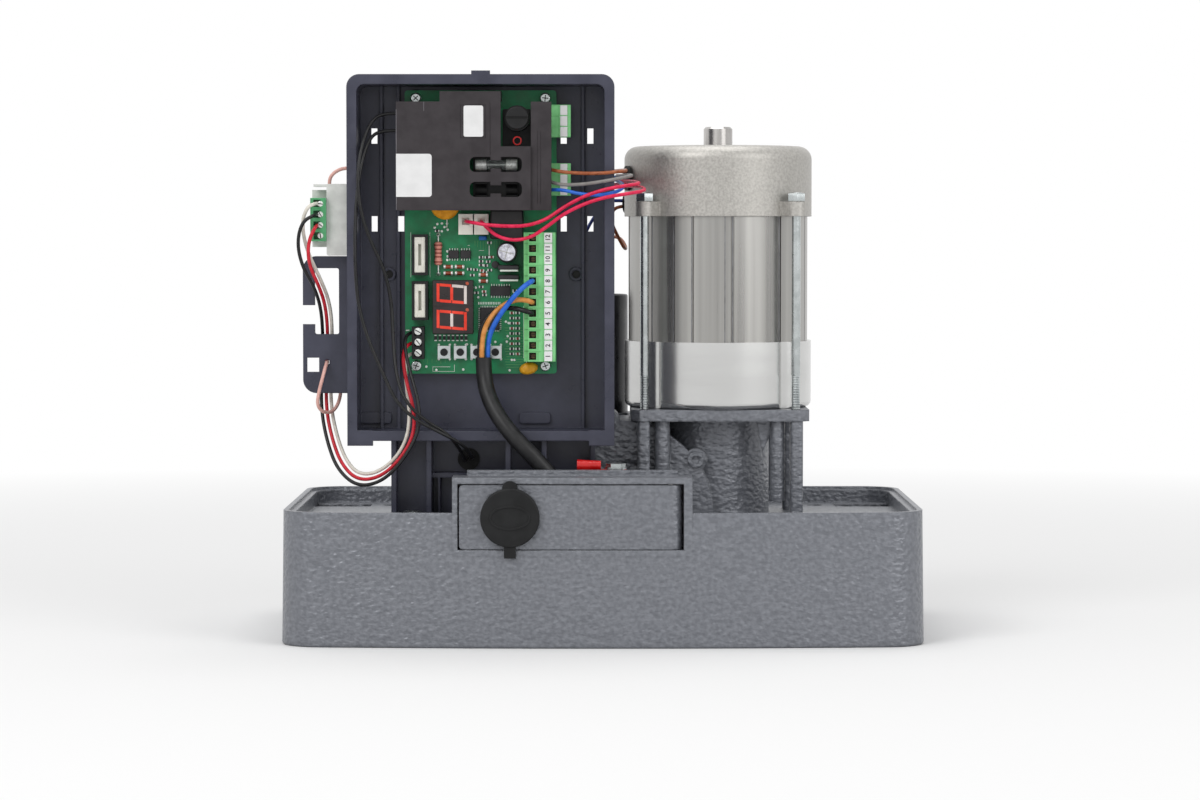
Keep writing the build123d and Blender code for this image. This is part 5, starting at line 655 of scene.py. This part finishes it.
for end in resistor["feet"]:
    addLathe(shape, (resistor["x"], board["front"], resistor["bottom"] + end),
             [(0.35, 0), (1.0, 0.05), (0.8, 0.4), (0.4, 1.4)], index=2, sides=16, closed=True)
keep(shape, "powerResistor", ["resistorPink", "bandBrown", "solder"],
     replaced=("board_components",))

# disc parts: orange varistor, yellow disc, blue block
varistor = {"place": (-75.0, -42.25, 206.0), "outline": [
    (0, -2.2), (6.2, -2.2), (6.9, -1.4), (7.0, 0), (6.9, 1.4), (6.2, 2.2), (0, 2.2)]}
disc = {"place": (-35.4, -41.5, 128.2), "flat": 0.64, "turn": -12, "outline": [
    (0, -1.4), (3.6, -1.4), (4.4, -0.6), (4.5, 0.3), (4.0, 1.5), (2.8, 2.2), (0, 2.4)]}
discLeads = [(-74.2, -40.8, 197.3, 4.0), (-36.4, -40.6, 131.6, 2.4)]
shape = bmesh.new()
addLathe(shape, varistor["place"], varistor["outline"], sides=40)
before = set(shape.verts)
addLathe(shape, disc["place"], disc["outline"], index=1)
bmesh.ops.scale(shape, vec=(1, 1, disc["flat"]), space=Matrix.Translation(disc["place"]).inverted(),
                verts=added(shape.verts, before))
turnAdded(shape, before, disc["place"], disc["turn"])
addBlock(shape, (-59.0, -43.5, 189.2), (-55.2, -40.2, 191.2), 0.5, 2, 3)
for x, y, z, length in discLeads:
    addRound(shape, (x, y, z), 0.3, length, axis="Z", edge=0, index=3, sides=10)
keep(shape, "discParts", ["varistorOrange", "discYellow", "capBlue", "solder"],
     replaced=("board_components",))

# surface mounted rows: pale ends with a dark or brown middle
chipRows = {
    "across": [(-43.4, 154.6 - 2.44 * n) for n in range(9)] + [(-40.6, 154.6 - 2.44 * n) for n in range(9)],
    "upright": [(-79.7 + 2.067 * n, 142.7) for n in range(8)],
    "loose": [(-58.0, 181.1), (-55.2, 181.1), (-58.0, 179.2), (-54.6, 179.0), (-58.0, 177.4), (-55.8, 177.2),
              (-53.0, 181.2), (-63.6, 175.4), (-60.6, 175.2), (-57.6, 174.8), (-56.2, 174.0), (-53.9, 175.0),
              (-58.0, 167.0), (-60.2, 164.2), (-56.6, 164.8), (-56.4, 163.2), (-78.9, 193.6), (-42.0, 165.2),
              (-54.0, 188.0), (-62.2, 172.6)],
    "diodes": [(-73.6, 176.6), (-68.2, 176.6), (-73.6, 173.5), (-68.2, 173.5), (-56.9, 172.8), (-56.9, 169.8)],
    "long": 2.2, "wide": 1.2, "tall": 0.6, "end": 0.62, "endHeight": 0.65, "edge": 0.1,
    "uprightHalf": (0.6, 1.5), "uprightEnd": 0.6, "diodeDepth": -41.0, "diodeRadius": 0.9, "diodeLong": 2.6,
}
half, wide, end = chipRows["long"] / 2, chipRows["wide"] / 2, chipRows["end"]
endHeight, tall, edge = chipRows["endHeight"], chipRows["tall"], chipRows["edge"]
shape = bmesh.new()
for x, z in chipRows["across"] + chipRows["loose"]:
    addOnBoard(shape, x - half, x - half + end, z - wide, z + wide, endHeight, edge, 1)
    addOnBoard(shape, x + half - end, x + half, z - wide, z + wide, endHeight, edge, 1)
    brown = 2 if round(x * 10 + z * 7) % 3 == 0 else 0
    addOnBoard(shape, x - half + 0.4, x + half - 0.4, z - wide, z + wide, tall, edge, brown)
wide, half = chipRows["uprightHalf"]
for x, z in chipRows["upright"]:
    for low in (z - half, z + half - chipRows["uprightEnd"]):
        addOnBoard(shape, x - wide, x + wide, low, low + chipRows["uprightEnd"], endHeight, edge, 1)
    addOnBoard(shape, x - wide, x + wide, z - 1.0, z + 1.0, tall, edge)
radius = chipRows["diodeRadius"]
for x, z in chipRows["diodes"]:
    middle = Vector((x, chipRows["diodeDepth"], z))
    addRound(shape, middle, radius, chipRows["diodeLong"], axis="X", edge=0.1, index=3, sides=16)
    for side in (-1, 1):
        addRound(shape, middle + Vector((side * 1.75, 0, 0)), radius + 0.07, 1.0, axis="X", edge=0.2, index=1,
                 sides=16)
keep(shape, "smallParts", ["chipDark", "solder", "bandBrown", "diodeGlass"])

# solder dots, pads and printed lines
dots = [(-80.1, 195.2), (-78.8, 196.9), (-76.6, 197.2), (-74.2, 197.1), (-75.4, 195.5), (-76.7, 193.5),
        (-73.9, 194.2), (-74.0, 183.9), (-73.9, 181.5), (-74.1, 179.8), (-60.4, 175.3), (-42.4, 164.6),
        (-60.6, 166.6), (-59.4, 162.0), (-44.9, 149.8), (-46.2, 150.4), (-58.9, 139.4), (-51.3, 140.8),
        (-64.8, 139.6), (-59.6, 139.0), (-66.6, 127.6), (-84.2, 129.0), (-56.0, 127.4), (-44.5, 127.2),
        (-79.4, 127.4), (-90.4, 127.8), (-43.4, 132.2), (-42.2, 132.2), (-45.8, 140.9), (-45.4, 143.5)]
for x in (-75.6, -67.9, -60.0, -51.2):
    dots += [(x + dx, 136.0 + dz) for dx in (-2.6, 2.6) for dz in (-3.4, 3.4)]
printed = [(-54.4, -53.9, 182.0, 186.6), (-81.2, -70.8, 126.6, 126.8), (-81.2, -81.0, 126.6, 128.9),
           (-81.2, -72.8, 128.8, 129.0), (-70.9, -70.7, 126.6, 130.0), (-93.9, -92.2, 146.0, 146.6),
           (-64.4, -63.4, 186.6, 186.8), (-59.0, -56.6, 184.2, 184.4), (-46.6, -41.0, 159.6, 159.8),
           (-37.9, -37.7, 133.0, 158.0), (-91.6, -91.4, 171.6, 193.0), (-82.4, -82.2, 171.6, 193.0)]
shape = bmesh.new()
for x, z in dots:
    addRound(shape, (x, board["front"] - 0.15, z), 0.62, 0.45, edge=0.2, sides=10)
for n in range(14):
    addOnBoard(shape, -59.4 + 0.78 * n, -59.05 + 0.78 * n, 158.6, 159.8, 0.12, 0)
for left, right, bottom, top in printed:
    addOnBoard(shape, left, right, bottom, top, 0.04, 0, 1)
keep(shape, "solderDots", ["solder", "inkWhite"])

# copper tracks: slightly paler green lines under the lacquer
shape = bmesh.new()
for n in range(16):
    z = 128.6 + 1.25 * n
    addOnBoard(shape, -46.0 - 0.3 * (n % 4), -38.2, z, z + 0.25, 0.03, 0)
for n in range(9):
    x = -90.0 + 2.1 * n
    addOnBoard(shape, x, x + 0.25, 130.4 + 0.5 * (n % 3), 132.6, 0.03, 0)
for n in range(12):
    x = -61.0 + 1.3 * n
    addOnBoard(shape, x, x + 0.22, 186.6 - 0.7 * (n % 5), 188.9, 0.03, 0)
keep(shape, "boardTracks", ["paintedShadeAndTrackGreen"])
print("board is dressed")

# two digit display, turned on its side
display = {
    "box": (-80.8, -61.5, 144.8, 170.3), "height": 8.0, "left": -78.85, "right": -64.55, "bar": 1.35,
    "slant": 0.083, "gap": 0.16, "half": 4.45,
    "digits": [(163.9, "abgfe"), (151.4, "abcdef")],
}
shape = bmesh.new()
left, right, bottom, top = display["box"]
seam = (bottom + top) / 2 + 0.3
face = board["front"] - display["height"]
for low, high in ((bottom, seam - 0.06), (seam + 0.06, top)):
    addBlock(shape, (left, face, low), (right, board["front"] - 0.05, high), 0.25)
addBlock(shape, (left + 0.3, face + 0.1, bottom + 0.3), (right - 0.3, face + 1.0, top - 0.3), 0.0)
before = set(shape.verts)
x0, x1, bar, gap = (display[key] for key in ("left", "right", "bar", "gap"))
for middle, lit in display["digits"]:
    low, high, centre = middle - display["half"], middle + display["half"], (x0 + x1) / 2
    bars = {
        "a": (x0, x0 + bar, low + gap, high - gap),
        "d": (x1 - bar, x1, low + gap, high - gap),
        "g": (centre - bar / 2, centre + bar / 2, low + bar, high - bar),
        "b": (x0 + bar + gap, centre - gap, high - bar, high),
        "c": (centre + gap, x1 - bar - gap, high - bar, high),
        "f": (x0 + bar + gap, centre - gap, low, low + bar),
        "e": (centre + gap, x1 - bar - gap, low, low + bar),
    }
    for key, (xa, xb, za, zb) in bars.items():
        addBlock(shape, (xa, face - 0.07, za), (xb, face + 0.2, zb), 0.03, 1 if key in lit else 2)
    addRound(shape, (x1 + 0.2, face, high + 1.0), 0.8, 0.16, edge=0.03, index=3, sides=20)
for vert in added(shape.verts, before):
    vert.co.z -= display["slant"] * (vert.co.x - (x0 + x1) / 2)
keep(shape, "digitDisplay", ["displayFace", "segmentLit", "segmentPale", "pointDim"],
     replaced=("digit_display",))
print("display is lit")

# terminals: screw holes with painted shade at the back, lines of painted shade between the ways, ribs, number strip
terminal = {"left": -37.4, "right": -22.3, "bottom": 132.0, "pitch": 5.08, "ways": 12, "long": 60.8, "front": -57.0,
            "strip": (-27.7, -23.9), "hole": -33.2, "side": 3.4, "plateHalf": 2.35, "number": 3.1}
left, right, bottom, front, hole = (terminal[key] for key in ("left", "right", "bottom", "front", "hole"))
stripLeft, stripRight = terminal["strip"]
half, plate = terminal["side"] / 2, terminal["plateHalf"]
numberTurn = Matrix.Rotation(math.pi / 2, 4, "X") @ Matrix.Rotation(math.pi / 2, 4, "Z")
shape = bmesh.new()
for n in range(terminal["ways"]):
    z = bottom + terminal["pitch"] * (n + 0.5)
    # painted shade at the back and side of each hole and in the screw's slot
    addBlock(shape, (hole - half, front + 2.6, z - half), (hole + half, front + 3.0, z + half), 0.0)
    addBlock(shape, (hole - half, front + 0.4, z - half), (hole - half + 0.3, front + 3.0, z + half), 0.0)
    addRound(shape, (hole + 0.3, front + 2.4, z), 1.2, 0.8, index=3, sides=20)
    addBlock(shape, (hole - 0.9, front + 1.9, z - 0.2), (hole + 1.4, front + 2.3, z + 0.2), 0.0)
    addBlock(shape, (stripLeft, front - 0.3, z - plate), (stripRight, front + 0.1, z + plate), 0.08, 1)
    place = Matrix.Translation(((stripLeft + stripRight) / 2 - 0.1, front - 0.33, z))
    addText(shape, str(n + 1), terminal["number"], place @ numberTurn, 2)
    addBlock(shape, (left + 2.2, front - 0.35, z + 2.2), (stripLeft - 1.6, front + 0.1, z + 2.5), 0.05, 4)
    # thin lines of painted shade beside each hole and between the ways
    addBlock(shape, (hole + half + 0.7, front - 0.06, z - 1.9), (hole + half + 0.95, front + 0.1, z + 1.7), 0.0, 5)
    addBlock(shape, (left + 0.3, front + 1.7, z + 2.3), (left + 1.9, front + 2.1, z + 2.5), 0.0, 5)
for low, high, edge in ((stripRight + 0.1, right - 0.05, 0.12), (stripLeft - 0.5, stripLeft - 0.1, 0.1)):
    addBlock(shape, (low, front - 0.35, bottom + 0.1), (high, front + 0.1, bottom + terminal["long"]), edge, 4)
keep(shape, "terminalStrip",
     ["paintedHoleShade", "labelWhite", "printAndShadeBlack", "brownScrew", "terminalGreen", "paintedShadeAndTrackGreen"])
print("terminal strip is numbered")

# two plugs of three ways, dressed alike
plugs = {"left": -30.0, "right": -15.2, "rows": (237.9, 210.3), "ways": 3, "long": 15.1, "front": -50.0,
         "strip": (-20.2, -16.8), "hole": -27.0, "holeHalf": 1.7, "plateHalf": 2.3}
left, right, front, hole = (plugs[key] for key in ("left", "right", "front", "hole"))
stripLeft, stripRight = plugs["strip"]
half, plate = plugs["holeHalf"], plugs["plateHalf"]
shape = bmesh.new()
for bottom in plugs["rows"]:
    for n in range(plugs["ways"]):
        z = bottom + terminal["pitch"] * (n + 0.5)
        # painted shade at the back of each hole
        addBlock(shape, (hole - half, front + 2.6, z - half), (hole + half, front + 3.0, z + half), 0.0)
        addBlock(shape, (stripLeft, front - 0.3, z - plate), (stripRight, front + 0.1, z + plate), 0.08, 1)
        addBlock(shape, (left + 1.2, front - 0.3, z + 2.25), (stripLeft - 0.8, front + 0.1, z + 2.55), 0.05, 2)
    for low, high in ((stripLeft - 0.6, stripLeft - 0.15), (stripRight + 0.15, right - 0.1)):
        addBlock(shape, (low, front - 0.32, bottom + 0.1), (high, front + 0.1, bottom + plugs["long"]), 0.08, 2)
keep(shape, "plugStrips", ["paintedHoleShade", "labelWhite", "terminalGreen"])

# slotted screws of the black input block and of the sensor's terminal
slotted = [(-87.65, -50.0, z, 1.7, turn) for z, turn in ((146.1, 30), (141.0, 50), (135.9, 40))]
slotted += [(-132.9, -60.0, z, 1.35, turn) for z, turn in ((206.4, 10), (201.4, 60), (196.4, 35), (191.4, 80))]
shape = bmesh.new()
for x, front, z, radius, turn in slotted:
    addRound(shape, (x, front + 0.4, z), radius, 1.0, edge=0.2, sides=24)
    before = set(shape.verts)
    # the slot is a strip of painted shade
    addBlock(shape, (x - radius * 0.9, front - 0.14, z - 0.22), (x + radius * 0.9, front + 0.2, z + 0.22), 0.0, 1)
    turnAdded(shape, before, (x, front, z), turn)
keep(shape, "slottedScrews", ["solder", "printAndShadeBlack"])

# cross recesses of the board screws in painted shade, and the white inserts of the card sockets
shape = bmesh.new()
for n, (x, z) in enumerate(((-88.9, 129.4), (-88.9, 256.6), (-27.4, 129.4), (-27.4, 256.6))):
    addCross(shape, x, -42.0, z, 1.5, 20 + 25 * n)
keep(shape, "screwRecesses", ["printAndShadeBlack"])
sockets = {"left": -89.4, "right": -84.2, "spans": ((173.9, 190.8), (152.6, 168.6)), "front": -48.4, "back": -41.2,
           "side": 1.9, "end": 3.4, "lap": 0.2, "slotDepth": 1.6}
left, right, front, back, side, end, lap = (
    sockets[key] for key in ("left", "right", "front", "back", "side", "end", "lap"))
shape = bmesh.new()
for bottom, top in sockets["spans"]:
    addBlock(shape, (left, front, bottom), (left + side, back, top))
    addBlock(shape, (right - side, front, bottom), (right, back, top))
    for low in (bottom, top - end):
        addBlock(shape, (left + side - lap, front, low), (right - side + lap, back, low + end))
    slotFront = front + sockets["slotDepth"]
    addBlock(shape, (left + side - lap, slotFront, bottom + end - lap),
             (right - side + lap, slotFront + 0.4, top - end + lap), 0.0, 1)
keep(shape, "socketInserts", ["whitePlastic", "grooveGrey"])

# board cover: bare labels, moulded lines, strips of painted highlight on two edges, red ring
coverFace = -62.0
shape = bmesh.new()
addPlate(shape, (-65.4, coverFace - 0.12, 237.8), (-56.2, coverFace + 0.1, 252.4), 0.9)
addPlate(shape, (-97.15, coverFace - 0.12, 209.6), (-80.4, coverFace + 0.1, 229.8), 1.4, corners=("right",))
keep(shape, "bareLabels", ["labelWhite"])
lines = {
    "cover": [(-53.1, -52.8, 229.3, 254.0), (-67.0, -66.8, 237.4, 252.6), (-55.3, -55.1, 237.4, 252.6),
              (-67.0, -55.1, 237.2, 237.4), (-67.0, -55.1, 252.6, 252.8)],
    "strip": [(-30.9, -30.7, 206.5, 240.5), (-29.4, -29.2, 206.5, 240.5)],
    # the edges are strips of painted highlight
    "edges": [(-97.18, -96.9, 203.6, 250.6), (-84.2, -83.95, 249.9, 254.2)],
}
shape = bmesh.new()
for left, right, bottom, top in lines["cover"]:
    addBlock(shape, (left, coverFace - 0.14, bottom), (right, coverFace + 0.1, top), 0.05)
for left, right, bottom, top in lines["strip"]:
    addBlock(shape, (left, coverFace + 1.36, bottom), (right, coverFace + 1.7, top), 0.05)
for left, right, bottom, top in lines["edges"]:
    addBlock(shape, (left, coverFace - 0.04, bottom), (right, coverFace + 0.2, top), 0.03, 1)
keep(shape, "coverLines", ["coverPlastic", "paintedCoverHighlight"])
shape = bmesh.new()
addLathe(shape, (-40.4, -52.0, 236.1), [(1.55, 0), (2.15, 0), (2.15, 2.5), (1.95, 2.7), (1.55, 2.7)], closed=True)
keep(shape, "redRing", ["redPlastic"])
shape = bmesh.new()
addPlate(shape, (-47.6, -41.4, 233.6), (-34.2, -39.95, 251.4), 0.8)
keep(shape, "fuseBayFloor", ["blackPlastic"])
# each tray hole holds a black disc of painted shade inside a moulded rim
shape = bmesh.new()
for x, z in ((-12.7, 172.8), (-101.9, 172.8)):
    addRound(shape, (x, -33.9, z), 2.6, 0.6, edge=0)
    addLathe(shape, (x, -34.5, z), [(2.0, 0), (3.3, 0), (3.3, 0.5), (2.9, 0.7), (2.0, 0.7)], index=1, closed=True)
keep(shape, "trayHoleCores", ["printAndShadeBlack", "trayPlastic"])

# glass fuse in its clips
fuse = {"middle": Vector((-50.35, -53.0, 224.8)), "half": 10.0, "cap": 5.5, "capRadius": 2.6,
        "tubeRadius": 2.3, "tubeLength": 9.4, "wireRadius": 0.25, "wireLength": 9.3}
shape = bmesh.new()
for side in (-1, 1):
    addRound(shape, fuse["middle"] + Vector((side * (fuse["half"] - fuse["cap"] / 2), 0, 0)), fuse["capRadius"],
             fuse["cap"], axis="X", edge=0.4)
addRound(shape, fuse["middle"], fuse["tubeRadius"], fuse["tubeLength"], axis="X", edge=0, index=1)
addRound(shape, fuse["middle"], fuse["wireRadius"], fuse["wireLength"], axis="X", edge=0, sides=8)
keep(shape, "fuseInClips", ["solder", "glass"], replaced=("glass_fuse",))
print("cover and fuse are done")

# motor: stator seams
motor = {"x": 56.0, "statorRadius": 43.5, "statorLow": 140.6, "statorHigh": 200.4,
         "seams": ((-30.8, 0.5), (-18.4, 0.5), (2.6, 0.45), (7.4, 0.45), (40.4, 0.6), (-48.0, 0.5), (58.0, 0.5))}
shape = bmesh.new()
for angle, width in motor["seams"]:
    before = set(shape.verts)
    addBlock(shape, (motor["x"] - width / 2, -motor["statorRadius"] - 0.14, motor["statorLow"]),
             (motor["x"] + width / 2, -motor["statorRadius"] + 0.4, motor["statorHigh"]), 0.04, 0)
    turnAdded(shape, before, (motor["x"], 0, 0), angle, "Z")
keep(shape, "statorSeams", ["gearSteel"])
# tie bolts: slim shank, short rolled thread above the plate, hexagon head with a dished top
bolts = {"reach": 36.2, "shank": 2.1, "thread": 1.85, "low": 103.45, "threadTop": 124.6, "high": 207.6,
         "pitch": 0.8, "head": 4.55, "headHeight": 4.0, "dish": 2.7}
shape = bmesh.new()
turns = int((bolts["threadTop"] - bolts["low"]) / bolts["pitch"])
outline = [(0, 0), (bolts["thread"], 0)]
for n in range(turns):
    outline += [(bolts["shank"], (n + 0.5) * bolts["pitch"]), (bolts["thread"], (n + 1) * bolts["pitch"])]
outline += [(bolts["shank"], (turns + 0.6) * bolts["pitch"]), (bolts["shank"], bolts["high"] - bolts["low"])]
for sideX in (-1, 1):
    for sideY in (-1, 1):
        x, y = motor["x"] + sideX * bolts["reach"], sideY * bolts["reach"]
        addLathe(shape, (x, y, bolts["low"]), outline, axis="Z", sides=20)
        addRound(shape, (x, y, bolts["high"] + bolts["headHeight"] / 2), bolts["head"], bolts["headHeight"],
                 axis="Z", edge=0.4, sides=6)
        addLathe(shape, (x, y, bolts["high"] + bolts["headHeight"]),
                 [(0, 0.02), (bolts["dish"] - 0.5, 0.02), (bolts["dish"], 0.3), (bolts["dish"] + 0.5, 0.02)],
                 axis="Z", sides=24, closed=True)
keep(shape, "tieBolts", ["zincSteel"], replaced=("tie_bolts",), crease=28)
print("motor is dressed")

# stage: pale floor that fades to white, soft studio light
stage = {"reach": 8.0, "fadeFrom": 0.25, "fadeTo": 1.2, "floor": (0.93, 0.93, 0.93)}
shape = bmesh.new()
bmesh.ops.create_grid(shape, x_segments=1, y_segments=1, size=stage["reach"])
floorMesh = bpy.data.meshes.new("studioFloor")
shape.to_mesh(floorMesh)
shape.free()
floorMaterial = bpy.data.materials.new("studioFloor")
floorMaterial.use_nodes = True
tree = floorMaterial.node_tree
tree.nodes.clear()
output = shaderNode(tree, "OutputMaterial")
matt = shaderNode(tree, "BsdfDiffuse", {"Color": tone(*stage["floor"])})
bright = shaderNode(tree, "Emission")
blend = shaderNode(tree, "MixShader")
place = shaderNode(tree, "TexCoord")
reach = shaderNode(tree, "VectorMath", operation="LENGTH")
fade = shaderNode(tree, "MapRange", {"From Min": stage["fadeFrom"], "From Max": stage["fadeTo"]})
rays = shaderNode(tree, "LightPath")
seen = shaderNode(tree, "Math", operation="MAXIMUM")
both = shaderNode(tree, "Math", operation="MULTIPLY")
joinNodes(
    tree, (place, "Object", reach, 0), (reach, "Value", fade, "Value"), (rays, "Is Camera Ray", seen, 0),
    (rays, "Is Glossy Ray", seen, 1), (fade, "Result", both, 0), (seen, "Value", both, 1),
    (both, "Value", blend, "Fac"), (matt, "BSDF", blend, 1), (bright, "Emission", blend, 2),
    (blend, "Shader", output, "Surface"))
floorMesh.materials.append(floorMaterial)
floor = bpy.data.objects.new("studioFloor", floorMesh)
bpy.context.scene.collection.objects.link(floor)

world = bpy.data.worlds.new("studio")
bpy.context.scene.world = world
world.use_nodes = True
tree = world.node_tree
tree.nodes.clear()
output = shaderNode(tree, "OutputWorld")
fill = shaderNode(tree, "Background", {"Color": (1, 1, 1, 1), "Strength": 0.5})
white = shaderNode(tree, "Background", {"Color": (1, 1, 1, 1)})
blend = shaderNode(tree, "MixShader")
rays = shaderNode(tree, "LightPath")
first = shaderNode(tree, "Math", operation="MAXIMUM")
second = shaderNode(tree, "Math", operation="MAXIMUM")
joinNodes(
    tree, (rays, "Is Camera Ray", first, 0), (rays, "Is Glossy Ray", first, 1), (first, "Value", second, 0),
    (rays, "Is Transmission Ray", second, 1), (second, "Value", blend, "Fac"), (fill, "Background", blend, 1),
    (white, "Background", blend, 2), (blend, "Shader", output, "Surface"))

lamps = {
    "keyLamp": {"place": (-0.9, -1.3, 1.2), "size": 0.9, "power": 12.0},
    "fillLamp": {"place": (1.1, -1.1, 0.7), "size": 0.9, "power": 6.0},
    "topLamp": {"place": (0.0, 0.1, 1.5), "size": 1.1, "power": 9.0},
}
target = Vector((0, 0, 0.14))
for lampName, setup in lamps.items():
    lampData = bpy.data.lights.new(lampName, "AREA")
    lampData.shape = "SQUARE"
    lampData.size = setup["size"]
    lampData.energy = setup["power"]
    lamp = bpy.data.objects.new(lampName, lampData)
    lamp.location = setup["place"]
    lamp.rotation_euler = (target - Vector(setup["place"])).to_track_quat("-Z", "Y").to_euler()
    bpy.context.scene.collection.objects.link(lamp)
bpy.context.scene.view_settings.view_transform = "Standard"
print("stage is lit")
